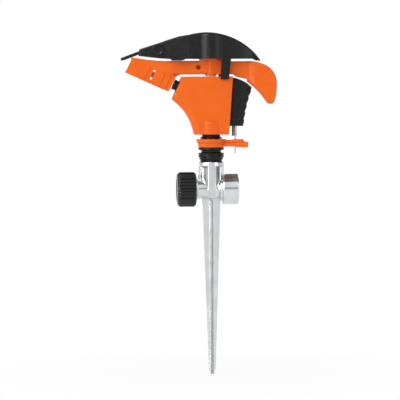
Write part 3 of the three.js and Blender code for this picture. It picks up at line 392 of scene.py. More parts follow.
def metal(name, light, dark, roughness, wave, wave_depth, lines, line_depth, shade_panels=False):
    """Metal: a slow waviness from casting or drawing, fine working lines across X, and a patchy polish.

    With shade_panels, the sunk panels carry painted shade: a darker, duller colour standing for the shade in
    those recesses, and the spike's blade edges are darkened the same way. The sizes and depths of the waves
    and lines are in millimetres.
    """
    material, tree = new_material(name)
    place = add(tree, "TexCoord").outputs["Object"]
    patches = add(tree, "TexNoise", {"Vector": place, "Scale": per_mm(14), "Detail": 5.0})
    tones = [(0.3, linear(dark)), (0.7, linear(light))]
    colour = add(tree, "ValToRGB", {"Fac": patches.outputs["Fac"]}, tones).outputs["Color"]
    stretched = add(tree, "Mapping", {"Vector": place, "Scale": (0.12, 1.0, 1.0)})
    brushed = add(tree, "TexNoise", {"Vector": stretched.outputs["Vector"], "Scale": per_mm(lines),
                                     "Detail": 3.0})
    rough = add(tree, "MapRange", {"Value": patches.outputs["Fac"], "From Min": 0.3, "From Max": 0.7,
                                   "To Min": roughness - 0.04, "To Max": roughness + 0.08})
    swell = add(tree, "TexNoise", {"Vector": place, "Scale": per_mm(wave), "Detail": 1.5})
    wavy = add(tree, "Bump", {"Height": swell.outputs["Fac"], "Strength": 0.6, "Distance": wave_depth * MM})
    relief = add(tree, "Bump", {"Height": brushed.outputs["Fac"], "Strength": 0.4,
                                "Distance": line_depth * MM, "Normal": wavy.outputs["Normal"]})
    shine = rough.outputs["Result"]
    # Painted shade: the sunk panels and the spike's blade edges are darkened to 0.38 of the colour and made
    # rougher.
    if shade_panels:
        darkened = panel_shade_and_blade_mask(tree, place)
        keep = add(tree, "MapRange", {"Value": darkened, "To Min": 1.0, "To Max": 0.38})
        colour = add(tree, "VectorMath", {0: colour, "Scale": keep.outputs[0]}, operation="SCALE").outputs[0]
        duller = add(tree, "Math", {0: darkened, 1: 0.3}, operation="MULTIPLY")
        shine = add(tree, "Math", {0: shine, 1: duller.outputs[0]}, operation="ADD").outputs[0]
    shader = add(tree, "BsdfPrincipled", {"Base Color": colour, "Metallic": 1.0, "Roughness": shine,
                                          "Normal": relief.outputs["Normal"]})
    add(tree, "OutputMaterial", {"Surface": shader.outputs["BSDF"]})
    return material


finishes = {
    # Die-cast zinc, tumbled and polished: bright, wavy reflections, slightly duller patches, and painted
    # shade in the sunk panels.
    "zinc_casting": metal("polished_cast_zinc", "#e2e4e5", "#d0d3d5", 0.17, 9, 0.05, 0.5, 0.01, shade_panels=True),
    # Drawn stainless wire and pins: a darker, even shine with fine draw lines.
    "steel": metal("drawn_stainless_steel", "#bfc1c4", "#a9acb0", 0.24, 5, 0.01, 0.3, 0.01),
    # Turned brass: warm, with close tool rings.
    "brass": metal("turned_brass", "#d9b56a", "#c29a4e", 0.25, 6, 0.01, 0.3, 0.01),
    # Injection-moulded black polypropylene: a satin skin with a fine spark-eroded grain.
    "black_plastic": moulded("satin_black_polypropylene", "#161817", "#121413", 0.28, 1.49, 0.5, 0.02),
    # The cap's polypropylene comes out of a polished mould: the same black with a brighter, closer shine.
    "polished_black_plastic": moulded("polished_black_polypropylene", "#121615", "#0f1211", 0.17, 1.49, 0.5,
                                      0.008, specular=0.42),
    # Injection-moulded orange ABS: a semi-gloss skin, strong even colour and soft sink marks.
    "orange_plastic": moulded("semi_gloss_orange_abs", "#ec670c", "#e86108", 0.34, 1.53, 0.6, 0.012),
    # Pressed black rubber: nearly matt.
    "rubber": moulded("pressed_black_rubber", "#1d1d1d", "#151515", 0.78, 1.52, 0.4, 0.02),
    # Moulded natural nylon: milky, satin.
    "nylon": moulded("natural_nylon", "#e6e2d6", "#dcd7c8", 0.42, 1.53, 0.5, 0.01),
}

for record_part in frame["record"]["subparts"]:
    node_mesh = frame["nodes"][record_part["node"]].data
    node_mesh.materials.clear()
    node_mesh.materials.append(finishes[record_part["material_slot"]])


# ---------------------------------------------------------------- casting: spike, cross tube, riser

casting_low, casting_high = box_mm("spike_casting")
cap_low, cap_high = box_mm("outlet_cap")
washer_low, washer_high = box_mm("inlet_hose_washer")
TUBE_HEIGHT = (washer_low[2] + washer_high[2]) / 2
TUBE_RADIUS, TUBE_BORE, STUB_RADIUS = 10.25, 7.0, 13.3
BOSS_OUTSIDE, BOSS_LENGTH, SOCKET_RADIUS, SOCKET_DEPTH = 16.0, 16.3, 12.9, 14.0
THREAD_ROOT, THREAD_PITCH, THREAD_DEPTH = 13.45, 1.81, 0.55
FRONT_RIB_REACH, FRONT_RIB_HALF = 12.6, 3.9
SIDE_RIB_REACH, SIDE_RIB_HALF = 13.7, 2.6


def on_tube(made):
    """A solid turned round X, lifted on to the cross tube's axis."""
    return moved(made, (0, 0, TUBE_HEIGHT))


def spike_blades():
    """The cross-shaped spike: one section of four tapered arms, carried down with a shrinking reach.

    Round the section, each arm runs from a concave root fillet out to a rounded edge; the arm's reach at a
    height is a straight mix of its top and tip reach, and the point draws in to half of it.
    """
    top, tip, point_height = 12.0, casting_low[2], 5.4
    top_reach, tip_reach = 9.6, 3.4
    point = tip + point_height * (1 - np.linspace(0, 1, 8)[1:])
    heights = np.concatenate([np.linspace(top, tip + point_height, 60), point])
    share = np.clip(heights / tip, 0, 1)
    reach = top_reach + (tip_reach - top_reach) * share
    reach = reach * (0.5 + 0.5 * np.clip((heights - tip) / point_height, 0, 1))
    root, edge, fillet, nose = 1.45 - 0.35 * share, 0.85 - 0.1 * share, 1.3, 0.4
    quarter = np.linspace(0, np.pi / 2, 5)
    along = [root + fillet * (1 - np.cos(angle)) for angle in quarter[2:]]
    across = [root + fillet * (1 - np.sin(angle)) for angle in quarter[2:]]
    along += [reach - 1.6 * nose] + [reach - nose + nose * np.sin(angle) for angle in quarter]
    across += [edge] + [edge - nose + nose * np.cos(angle) for angle in quarter]
    along, across = np.array(along), np.array(across)
    arm_along = np.concatenate([along, along[::-1][:-1]])
    arm_across = np.concatenate([-across, across[::-1][:-1]])
    arms = []
    for c, s in [(1, 0), (0, 1), (-1, 0), (0, -1)]:
        arms.append(np.stack([c * arm_along - s * arm_across, s * arm_along + c * arm_across], -1))
    section = np.concatenate(arms, 0).transpose(1, 0, 2)
    z = np.broadcast_to(heights[:, None, None], section.shape[:2] + (1,))
    return loft(np.concatenate([section, z], -1))


def cross_tube():
    """The cross tube with its inlet boss and stub: a closed profile of radius and X, turned round X."""
    left, right = cap_low[0] + 3.9, casting_high[0]
    boss_start, neck_end = right - BOSS_LENGTH, -15.7
    outer = [(STUB_RADIUS - 1.1, left), (STUB_RADIUS, left + 1.2), (STUB_RADIUS, neck_end),
             (TUBE_RADIUS, neck_end + 0.4), (TUBE_RADIUS, boss_start - 4.6), (12.2, boss_start - 2.6),
             (12.4, boss_start - 0.5), (BOSS_OUTSIDE, boss_start - 0.3), (BOSS_OUTSIDE, right), (13.6, right)]
    floor = right - SOCKET_DEPTH
    inner = [(SOCKET_RADIUS, right - 1.2), (SOCKET_RADIUS, floor), (TUBE_BORE, floor), (TUBE_BORE, left)]
    radii = [0.5, 0.5, 0.4, 1.0, 2.5, 1.2, 0.4, 1.1, 1.5, 0.3, 0.3, 0.2, 0.3, 0.3]
    return on_tube(turned(eased(outer + inner, radii), "x", 160, closed=True))


def falling_step(value, edge, soft=0.35):
    """1 below the edge and 0 above it, with a straight run of twice soft between."""
    return np.clip(0.5 - (value - edge) / (2 * soft), 0, 1)


def riser():
    """The riser: its radius is a function of the angle and the height.

    A round column, a flat rib front and back, a narrower rib on each side, sunk panels between them whose
    outer edge slants in to a point beside the front rib, a top ring, and a bore with a wider upper part.
    """
    top, bottom, ring_height, ring_radius = casting_high[2], TUBE_HEIGHT, 4.3, 13.0
    bore_radius, bore_depth, passage_radius = 9.3, 16.0, 6.0
    panel_start, panel_end, slant_low, slant_height = 4.5, 9.3, 11.5, 15.5
    z = np.concatenate([np.linspace(bottom, top - 4.6, 90), np.linspace(top - 4.4, top - 3.6, 5),
                        np.linspace(top - 3.5, top - 0.6, 8), [top - 0.3, top - 0.08, top]])
    angle = np.arange(288) * 2 * np.pi / 288
    height, turn = np.meshgrid(z, angle, indexing="ij")
    sideways, forward = np.abs(np.sin(turn)), np.abs(np.cos(turn))
    x = RISER_RADIUS * sideways
    outer_edge = 4.0 + 7.4 * np.clip((height - slant_low) / slant_height, 0, 1) ** 0.85
    panel = (1 - falling_step(x, panel_start)) * falling_step(x, np.minimum(outer_edge, panel_end), 0.5)
    radius = RISER_RADIUS - PANEL_DEPTH * panel * falling_step(height, top - 5.2, 0.5)
    for reach, half, most, toward, aside, ring_start in [
        (FRONT_RIB_REACH, FRONT_RIB_HALF + 0.05, 13.4, forward, sideways, top - 4),
        (SIDE_RIB_REACH, SIDE_RIB_HALF, 14.2, sideways, forward, top - 3),
    ]:
        flat = np.minimum(reach / np.maximum(toward, 0.2), most)
        on_rib = falling_step(np.abs(reach * np.tan(np.arcsin(np.clip(aside, 0, 0.99)))), half)
        radius = np.where(height < ring_start, radius + (flat - radius) * on_rib, radius)
    ring = falling_step(-height, ring_height - top, 0.3)
    radius = np.maximum(radius, ring_radius * ring + radius * (1 - ring))
    crest = np.clip((height - (top - 0.6)) / 0.6, 0, 1)
    radius = radius - 0.6 * (1 - np.sqrt(1 - crest**2))
    points = np.stack([radius * np.sin(turn), -radius * np.cos(turn), height], -1)
    seat = top - bore_depth
    bore = [(bore_radius, top), (bore_radius, seat), (passage_radius, seat), (passage_radius, bottom)]
    walls = [np.stack([r * np.sin(angle), -r * np.cos(angle), h + 0 * angle], -1) for r, h in bore]
    rings = np.concatenate([points, np.array(walls)], 0)
    return rings.reshape(-1, 3), grid_faces(*rings.shape[:2], True, True)


def thread_relief(radius, along, angle):
    """A round-crested thread: past 13 mm the radius waves once for each pitch along and each turn round."""
    wave = 0.5 + 0.5 * np.sin(2 * np.pi * along / THREAD_PITCH - angle)
    return np.where(radius > 13, radius - THREAD_DEPTH * wave, radius)


def hose_thread():
    """The cutter for the hose socket's thread: a rod with a round thread that ends short of the mouth."""
    along = casting_high[0] + np.linspace(-11.3, -0.9, 70)
    start, end = along[0] - 0.4, along[-1] + 0.3
    profile = [(0, start), (12.6, start)] + [(THREAD_ROOT, a) for a in along] + [(12.6, end), (0, end)]
    return on_tube(turned(profile, "x", 96, relief=thread_relief))


def front_rib():
    """The riser's front rib where it runs on over the cross tube."""
    low, high = 2.4, 14.0
    outline = [(-FRONT_RIB_HALF, low), (FRONT_RIB_HALF, low), (FRONT_RIB_HALF, high), (-FRONT_RIB_HALF, high)]
    return plate(eased(outline, [0.8, 0.8, 0, 0]), -FRONT_RIB_REACH, -6.0, 0.5)


tube_bore = on_tube(rod(TUBE_BORE - 0.02, cap_low[0], casting_high[0] - SOCKET_DEPTH - 0.5, "x"))
piece("cast_spike_and_riser", cross_tube(), "base", "spike_casting", "zinc_casting",
      joined=[riser(), front_rib(), spike_blades()], cut=[hose_thread(), tube_bore])


# ---------------------------------------------------------------- cap, nipple, sleeve and collars


def outlet_cap():
    """The blanking cap: a closed profile turned round X, with rounded grip ribs standing on its outside.

    A rib adds height * (0.5 + 0.5 cos(30 t))^0.6, faded in after the eased outer edge and out before the rim.
    """
    start, end = cap_low[0], cap_high[0] - 1.2
    wall, hollow, body, ribs, rib_height = 2.2, 13.9, 17.1, 30, 1.1
    shoulder = [(0, start + 0.5), (11.2, start + 0.5), (11.8, start), (body - 0.2, start + 0.15), (body, end)]
    shoulder = eased(shoulder, [0, 0.3, 0.3, 2.6, 0], closed=False)
    side = np.linspace(shoulder[-2][1] + 0.3, end - 1.5, 26)
    outer = [tuple(p) for p in shoulder[:-1]] + [(body, a) for a in side]
    rim = [(body, end - 0.9), (body - 0.1, end - 0.3), (body - 0.5, end), (hollow + 0.6, end),
           (hollow, end - 0.6), (hollow, start + wall + 0.2), (hollow - 0.3, start + wall), (0, start + wall)]

    def ribbed(radius, along, angle):
        """The radius with its share of a rib added."""
        fade = np.clip((along - start - 1.2) / 1.6, 0, 1) * np.clip((end - 1.0 - along) / 0.6, 0, 1)
        crest = (0.5 + 0.5 * np.cos(ribs * angle)) ** 0.6
        return radius + rib_height * crest * fade * (radius > body - 0.8)

    return on_tube(turned(outer + rim, "x", ribs * 14, relief=ribbed))


piece("ribbed_outlet_cap", outlet_cap(), "cap", "outlet_cap", "black_plastic",
      finish="polished_black_plastic")

STEM_BORE = 5.9


def nipple():
    """The bearing nipple: a shank, and above the riser a taper, a grooved rim, a neck, a ring and a tube.

    It is a closed profile turned round Z, given as radii and heights above the riser's top.
    """
    base, rise = box_mm("bearing_nipple")[0][2], casting_high[2]
    above = [(9.0, 1.2), (11.2, 1.2), (11.9, 2.6), (12.4, 2.9), (12.5, 3.9), (12.2, 4.2), (13.0, 5.0),
             (13.5, 5.6), (13.5, 6.7), (12.8, 7.0), (12.8, 7.5), (13.5, 7.8), (13.5, 8.9), (12.9, 9.4),
             (11.0, 9.6), (10.3, 10.6), (10.5, 12.3), (13.1, 12.6), (13.4, 13.0), (13.4, 14.8), (13.0, 15.1),
             (10.2, 15.1), (10.2, 24.0), (8.7, 24.0), (8.7, 10.0), (STEM_BORE, 10.0)]
    profile = [(STEM_BORE, base), (9.0, base)] + [(radius, rise + up) for radius, up in above]
    return turned(eased(profile, 0.25, steps=3), "z", 128, closed=True)


piece("grooved_bearing_nipple", nipple(), "base", "bearing_nipple", "black_plastic")


def sleeve():
    """The spring sleeve: a bell with a stepped skirt, turned round Z."""
    low, high = (corner[2] for corner in box_mm("spring_sleeve"))
    profile = [(STEM_BORE, low), (11.4, low), (11.5, low + 0.5), (11.0, low + 1.3), (9.9, low + 1.9),
               (9.5, low + 2.5), (9.6, high - 1.2), (9.2, high), (STEM_BORE, high)]
    return turned(eased(profile, 0.3), "z", 112, closed=True)


piece("bell_spring_sleeve", sleeve(), "head", "spring_sleeve", "black_plastic")

COLLAR_BORE, TAB_HALF = 10.5, 2.5


def turned_about_z(made, degrees):
    """The same solid turned about the Z axis."""
    points, faces = made
    a = math.radians(degrees)
    spin = np.array([[math.cos(a), -math.sin(a), 0], [math.sin(a), math.cos(a), 0], [0, 0, 1]])
    return points @ spin.T, faces


def collar(name, node, body, bottom, top, radii, tab_outline, tab_radii, azimuth):
    """A trip collar: a ring with a coned outside, and a tab that is an outline carried across its width."""
    ring = [(COLLAR_BORE, bottom), (radii[0], bottom), (radii[1], top), (COLLAR_BORE, top)]
    tab = plate(eased(tab_outline, tab_radii), -TAB_HALF, TAB_HALF, 0.5)
    piece(name, turned(eased(ring, [0.3, 0.35, 0.35, 0.3]), "z", 144, closed=True), body, node,
          "orange_plastic", joined=[turned_about_z(tab, azimuth)])


upper_low, upper_high = (corner[2] for corner in box_mm("upper_trip_collar"))
collar("upper_trip_collar_ring", "upper_trip_collar", "upper_collar", upper_low, upper_high, (15.1, 15.6),
       [(12.2, upper_low), (34.4, upper_low), (34.4, upper_high - 1.2), (33.2, upper_high),
        (23.8, upper_high), (21.4, upper_high - 0.8), (12.2, upper_high - 0.8)],
       [0, 0.5, 0.8, 0.8, 0.8, 1.5, 0], -10.0)

lower_low, lower_high = (corner[2] for corner in box_mm("lower_trip_collar"))
lower_top = upper_low - 0.06
collar("lower_trip_collar_ring", "lower_trip_collar", "lower_collar", lower_low, lower_top, (13.4, 14.1),
       [(12.2, lower_low + 0.8), (25.8, lower_low + 0.8), (28.0, lower_low), (39.2, lower_low),
        (39.2, lower_high - 0.8), (34.9, lower_high), (34.9, lower_top), (12.2, lower_top)],
       [0, 1.5, 1.5, 0.7, 1.0, 0.2, 0.1, 0], -13.0)


# ---------------------------------------------------------------- head body and nozzle

body_low, body_high = box_mm("head_body")
BODY_BOTTOM, BODY_TOP, BODY_HALF = body_low[2], body_high[2], 11.5
FRONT_BOTTOM, FRONT_CORNER, FRONT_TOP = (-17.8, BODY_BOTTOM), (body_low[0] + 0.2, 105.6), (-30.4, BODY_TOP)
REAR_BOTTOM, REAR_TOP = (18.1, BODY_BOTTOM), (body_high[0] - 0.8, BODY_TOP)
STEM_BOSS_RADIUS, STEM_BOSS_TOP = 13.6, BODY_BOTTOM + 15.9
LIP_BEAD, LIP_FALL, LIP_WIDTH = 0.6, 3.4, 5.6
front_curve = bezier([FRONT_BOTTOM, (-21.6, 84.7), (-27.2, 95.1), FRONT_CORNER], 64)


def front_slant(z):
    """The X of the body's straight upper front face at a height."""
    return np.interp(z, [FRONT_CORNER[1], BODY_TOP], [FRONT_CORNER[0], FRONT_TOP[0]])


JET_ELEVATION = math.radians(24.3)
NOZZLE_REACH = 5.2
NOZZLE_SEAT = (float(front_slant(BODY_TOP - 9.9)), BODY_TOP - 9.9)


def soft_step(value, soft):
    """0 below zero, 1 above soft, and 3t^2 - 2t^3 between."""
    t = np.clip(value / soft, 0, 1)
    return t * t * (3 - 2 * t)


def body_relief(x, z):
    """The rolled lip along the hollow front edge, and the round boss over the stem, added to the half-width.

    The lip falls away towards the edge as (1 - d / width)^1.7, and ends inwards in a small proud bead.
    """
    flat = np.stack([x.ravel(), z.ravel()], -1)
    apart = np.hypot(*(flat[:, None] - front_curve[None]).transpose(2, 0, 1)).min(1).reshape(x.shape)
    on_curve = soft_step(FRONT_CORNER[1] + 3.2 + 0.45 * (x - FRONT_CORNER[0]) - z, 0.8)
    fall = LIP_FALL * np.clip(1 - apart / LIP_WIDTH, 0, 1) ** 1.7
    bead = LIP_BEAD * np.exp(-(((apart - LIP_WIDTH) / 0.9) ** 2))
    lip = (bead - fall) * on_curve
    radius = STEM_BOSS_RADIUS - 2.6 * soft_step(z - (STEM_BOSS_TOP - 3.0), 3.0)
    boss = np.sqrt(np.clip(radius**2 - x**2, 0, None)) - BODY_HALF
    return np.where(boss > 0, boss, 0) + lip


def front_edge(s):
    """The body's front: the hollow curve up to the corner, and the straight slant above it."""
    z = BODY_BOTTOM + (BODY_TOP - BODY_BOTTOM) * s
    hollow = np.interp(z, front_curve[:, 1], front_curve[:, 0])
    return np.stack([np.where(z > FRONT_CORNER[1], front_slant(z), hollow), z], -1)


def along_jet(made):
    """A solid turned round X, carried to the nozzle's seat and pointed up the jet."""
    points, faces = made
    a = math.pi + JET_ELEVATION
    x, y, z = points.T
    turned_x = math.cos(a) * x + math.sin(a) * z
    turned_z = -math.sin(a) * x + math.cos(a) * z
    return np.stack([NOZZLE_SEAT[0] + turned_x, y, NOZZLE_SEAT[1] + turned_z], -1), faces


piece("moulded_head_body",
      slab(front_edge, through([REAR_BOTTOM, REAR_TOP]), BODY_HALF, 1.0, 110, 84, body_relief),
      "head", "head_body", "orange_plastic",
      cut=[along_jet(rod(6.6, -1.6, 6.0, "x", 72)), rod(STEM_BORE, BODY_BOTTOM - 2, 92.3, "z", 72),
           rod(2.15, 112.8, BODY_TOP + 2, "z", 40)])


def nozzle():
    """The nozzle: shoulder, grip groove, nose and a flared bore, turned round the jet."""
    barrel, shank, groove = 5.45, 4.6, 4.9
    profile = [(3.2, -10), (shank, -10), (shank, -0.4), (barrel, -0.4), (barrel, 1.3), (groove, 1.6),
               (groove, 2.3), (barrel, 2.6), (barrel, NOZZLE_REACH), (2.9, NOZZLE_REACH),
               (2.2, NOZZLE_REACH - 1.2), (2.4, -4)]
    return along_jet(turned(eased(profile, 0.22, steps=3), "x", 96, closed=True))


piece("jet_nozzle", nozzle(), "head", "nozzle", "black_plastic")


# ---------------------------------------------------------------- impact arm

ARM_BOTTOM, ARM_TOP = BODY_TOP + 2.3, BODY_TOP + 16.5
BAR_HALF, BEAK_HALF, SPOON_HALF = 5.6, 4.9, 8.4
SPOON_START, SPOON_END, SPOON_FLOOR = 0.7, 51.1, -9.3
BUSHING_RADIUS = 3.7


def in_spoon(*places):
    """Places along the jet from the nozzle's mouth and up from the jet's line, as a list of X and Z."""
    a = math.pi + JET_ELEVATION
    made = []
    for along, up in places:
        x, z = along + NOZZLE_REACH, -up
        made.append((NOZZLE_SEAT[0] + math.cos(a) * x + math.sin(a) * z,
                     NOZZLE_SEAT[1] - math.sin(a) * x + math.cos(a) * z))
    return made


def spoon_wall():
    """The spoon's near wall: a plate between its lower edge and the upper edge that sweeps into the bar."""
    upper = bezier(in_spoon((SPOON_END - 0.6, 8.0)) + [(-66, 146.6), (-56, 145.9), (-46, ARM_TOP - 0.1)], 20)
    lower = in_spoon((SPOON_END, SPOON_FLOOR), (SPOON_START + 1, SPOON_FLOOR), (SPOON_START, 7.5))
    lower = eased(lower + [(-40, ARM_BOTTOM)], [0, 1.2, 2.5, 0], closed=False)
    outline = np.vstack([lower, [(-43, ARM_TOP - 0.2)], upper[::-1]])
    return plate(outline, -SPOON_HALF, -SPOON_HALF + 2.0, 0.55)


def spoon_flange(start, low, high):
    """A flange across the spoon, from a start along the jet out to its end."""
    corners = in_spoon((start, low), (SPOON_END, low), (SPOON_END - 0.3, high), (start, high))
    return plate(eased(corners, 0.5), -SPOON_HALF, SPOON_HALF - 1, 0.5)


def spoon_rib(along, width=1.5, low=-8.2, high=7.2):
    """A rib that stands proud of the near wall, across the jet."""
    corners = in_spoon((along, low), (along + width, low), (along + width, high), (along, high))
    return plate(eased(corners, 0.4), -SPOON_HALF - 0.9, -SPOON_HALF + 1.0, 0.45)


def spoon_web():
    """The web that joins the spoon's root to the bar."""
    corners = [(-46, ARM_TOP), (-32, ARM_TOP), (-32, ARM_BOTTOM)]
    corners += in_spoon((SPOON_START, 8), (SPOON_START + 9, 6))
    return plate(eased(corners, 0.8), -5.7, 5.6, 0.6)


def spoon_vane():
    """The curved vane at the spoon's far end, which throws the jet aside: a plan outline, carried up."""
    end = SPOON_END
    front = bezier([(end - 15, 6.4), (end - 8, 3.0), (end - 3, -3.5), (end - 0.5, -6.9)], 14)
    back = bezier([(end - 0.5, -4.4), (end - 2.5, 0.0), (end - 6, 4.0), (end - 13, 8.2)], 14)
    outline = np.vstack([front, back])
    rings = []
    for up in (-7.0, 7.0):
        x, z = np.array(in_spoon(*[(along, up) for along in outline[:, 0]])).T
        rings.append(np.stack([x, outline[:, 1], z], -1))
    return loft(np.array(rings))


def arm_bar():
    """The bar between the spoon and the hub, a rounded block that widens towards the spoon."""

    def half(x, z):
        """The half-width, which grows to the spoon's over 13 mm."""
        return BAR_HALF + (SPOON_HALF - BAR_HALF) * soft_step(-30.0 - x, 13.0)

    lower = through([(-46, ARM_BOTTOM + 0.6), (-34, ARM_BOTTOM), (-2, ARM_BOTTOM)])
    upper = through([(-46, ARM_TOP - 0.2), (-34, ARM_TOP), (-2, ARM_TOP)])
    return slab(lower, upper, half, 0.9, 60, 12)


def arm_tail():
    """The tail behind the hub: a block whose underside steps down past the body's rear edge."""
    drop = REAR_TOP[0] + 1.3
    lower = through([(2, 131.6), (drop, 131.6), (drop + 2.4, 129.4), (34.2, 127.3), (41, 126.6)])
    return slab(lower, through([(2, ARM_TOP - 0.6), (41, ARM_TOP - 0.6)]), BEAK_HALF, 0.9, 40, 8)


beak_crown = bezier([(38.2, ARM_TOP - 0.4), (58.6, ARM_TOP - 1.0), (69.0, ARM_TOP - 10), (69.0, 121.3)], 40)
beak_back = bezier([(69.0, 121.3), (69.0, 112.6), (68.0, 103.4), (64.2, 100.6)], 30)
beak_throat = bezier([(38.2, 124.0), (52.6, 113.8), (57.4, 103.0), (60.6, 100.6)], 40)


def beak_half(x, z):
    """The beak's half-width: the tail's, and 2.6 mm more from the shoulder on."""
    return BEAK_HALF + 2.6 * soft_step(x - 39.0, 7.5)


def beak_relief(x, z):
    """A shallow sunk field on the beak's cheek, with a soft border, and a fade towards the tip."""
    centre_x, centre_z = 54.5, 129.5
    reach = np.sqrt(((x - centre_x) / 11.5) ** 2 + ((z - centre_z) / 5.6) ** 2)
    return -0.35 * soft_step(1.0 - reach, 0.09) - 0.9 * soft_step(112 - z, 14)


def hub_and_cup():
    """The hub with the spring's cup on top, turned round Z."""
    base, cup_low, cup_floor, cup_top = BODY_TOP + 1.1, ARM_TOP + 0.3, ARM_TOP + 2.6, ARM_TOP + 3.7
    profile = [(BUSHING_RADIUS, base), (6.0, base), (6.0, cup_low), (12.2, cup_low), (12.2, cup_top),
               (10.6, cup_top), (10.6, cup_floor), (BUSHING_RADIUS, cup_floor)]
    return turned(eased(profile, 0.35), "z", 120, closed=True)


def hub_block():
    """The square web from the hub back to the tail, up into the cup."""
    low, high = ARM_BOTTOM - 0.2, ARM_TOP + 0.9
    return slab(through([(0, low), (11.2, low)]), through([(0, high), (11.2, high)]), 5.7, 0.8, 16, 8)


def stop_lug():
    """The lug on the near side that meets the cover's leg."""
    low, high = through([(13.0, 134.8), (18.2, 134.8)]), through([(13.0, 142.8), (18.2, 142.8)])
    return slab(low, high, 6.5, 0.5, 6, 6, middle=-6.5)


def inner_guide():
    """A thin wall inside the spoon, between its flanges, that closes the slot from behind."""
    return plate(in_spoon((18, -2.7), (30, -2.7), (30, 3.2), (18, 3.2)), -5.0, -3.8, 0.2)


spoon_slot = plate(eased(in_spoon((23, -5.2), (25, -5.2), (25, 5.4), (23, 5.4)), 0.7),
                   -SPOON_HALF - 2, -SPOON_HALF + 4, 0.01)
side_hole = moved(rod(2.4, -9, 1.5, "y", 48), (-13.5, 0, 138.9))
beak = slab(through(np.vstack([beak_crown, beak_back[1:]])), through(beak_throat), beak_half, 1.6, 90, 40,
            beak_relief)
piece("impact_arm_moulding", beak, "arm", "impact_arm", "orange_plastic",
      joined=[arm_tail(), hub_and_cup(), hub_block(), inner_guide(), stop_lug(), arm_bar(), spoon_web(),
              spoon_wall(), spoon_flange(SPOON_START + 6, SPOON_FLOOR, SPOON_FLOOR + 2),
              spoon_flange(SPOON_START + 2, 6.0, 8.0), spoon_vane()] + [spoon_rib(a) for a in (6, 13, 30)],
      cut=[spoon_slot, side_hole, rod(BUSHING_RADIUS, BODY_TOP - 1, ARM_TOP + 6)])


# ---------------------------------------------------------------- bridge cover, bonnet and flap

cover_low, cover_high = box_mm("bridge_cover")
COVER_BOTTOM, COVER_TOP = BODY_TOP + 18.6, cover_high[2] - 0.35
COVER_FRONT, COVER_REAR = cover_low[0], cover_high[0]
COVER_HALF, BULGE_RADIUS, WALL = 15.5, 18.6, 2.2
LEG_FRONT, LEG_WIDTH, LEG_BOTTOM = 10.9, 7.9, BODY_TOP - 3.0


def hood_rings(x, half, low, high, shoulder, crown, ring_steps=10):
    """Rings of a hood for arrays of X, half-width, lower and upper height, all of one length.

    Each ring goes up one side, round a shoulder arc, over a roof that rises by crown (1 - (y/half)^2), and
    down the other side; the lower corners are square.
    """
    x, half, low, high = (np.asarray(v, float)[:, None] for v in np.broadcast_arrays(x, half, low, high))
    radius = np.minimum(shoulder, np.minimum(0.45 * half, 0.45 * (high - low)))
    arc = np.linspace(0, np.pi / 2, ring_steps + 1)[None]
    rise = np.linspace(0, 1, 14)[None, :-1]
    side_y = -half + 0 * rise
    side_z = low + (high - crown - radius - low) * rise
    turn_y = -half + radius * (1 - np.cos(arc))
    turn_z = high - crown - radius * (1 - np.sin(arc)) + crown * (1 - (turn_y / half) ** 2) * np.sin(arc)
    roof_y = (half - radius) * np.linspace(-1, 1, 26)[None, 1:-1]
    roof_z = high - crown * (roof_y / half) ** 2
    y = np.hstack([side_y, turn_y, roof_y, -turn_y[:, ::-1], -side_y[:, ::-1]])
    z = np.hstack([side_z, turn_z, roof_z, turn_z[:, ::-1], side_z[:, ::-1]])
    return np.stack([np.broadcast_to(x, y.shape), y, z], -1)


def cover_top(x):
    """The dome's height: a long Bezier curve from the tail over the crown, and a short one to the front."""
    crown = (-3.6, COVER_TOP)
    rear = bezier([(COVER_REAR, COVER_BOTTOM - 0.8), (36.9, 167.1), (14.4, COVER_TOP), crown], 80)
    front = bezier([crown, (-13, COVER_TOP), (COVER_FRONT, 173.5)], 20)
    line = np.vstack([front[::-1], rear[::-1][1:]])
    return np.interp(x, line[:, 0], line[:, 1])


def cover_half(x):
    """The dome's half-width: flat sides, a round bulge over the pivot, and a tail that narrows to a nose."""
    tail_start = 22.5
    tail = bezier([(tail_start, COVER_HALF), (45.9, COVER_HALF - 2), (COVER_REAR, 3)], 40)
    flat = np.where(x > tail_start, np.interp(x, tail[:, 0], tail[:, 1]), COVER_HALF)
    return np.maximum(flat, np.sqrt(np.clip(BULGE_RADIUS**2 - x**2, 0, None)))


def cover_shell(inset, bottom):
    """The dome as a solid, drawn in by inset on every side but the bottom.

    The outer one has a 0.25 mm eased edge at both ends, and its lower edge dips by 2 mm at the tail.
    """
    front, rear = COVER_FRONT + inset, COVER_REAR - 1.6 * inset
    x = np.concatenate([front + np.array([0, 0.08, 0.25, 0.5]), np.linspace(front + 1, rear - 3, 110),
                        rear - np.array([2.2, 1.5, 0.9, 0.45, 0.15, 0])])
    edge = 0.25 if inset == 0 else 0.0
    from_end = np.minimum(x - front, (rear - x) * 0.5)
    draw = edge * (1 - np.sqrt(np.clip(1 - np.clip(1 - from_end / max(edge, 0.1), 0, 1) ** 2, 0, 1)))
    high = cover_top(x) - inset - draw
    low = np.full_like(x, bottom)
    if inset == 0:
        low = low - 2.0 * soft_step(x - (COVER_REAR - 8), 5.0)
    half = cover_half(x) - inset - draw
    return loft(hood_rings(x, half, low, np.maximum(high, low + 0.8), max(1.8 - inset, 0.4), 1.3))


def cover_leg(side):
    """One leg: a strip down the side, with a slight taper."""
    front, rear, top = LEG_FRONT, LEG_FRONT + LEG_WIDTH, COVER_BOTTOM + 3
    outline = [(front - 1.9, LEG_BOTTOM), (rear - 1, LEG_BOTTOM), (rear + 1.8, top), (front - 0.3, top)]
    ends = sorted([side * (COVER_HALF - WALL), side * COVER_HALF])
    return plate(eased(outline, [0.9, 0.9, 0, 0]), ends[0], ends[1], 0.45)


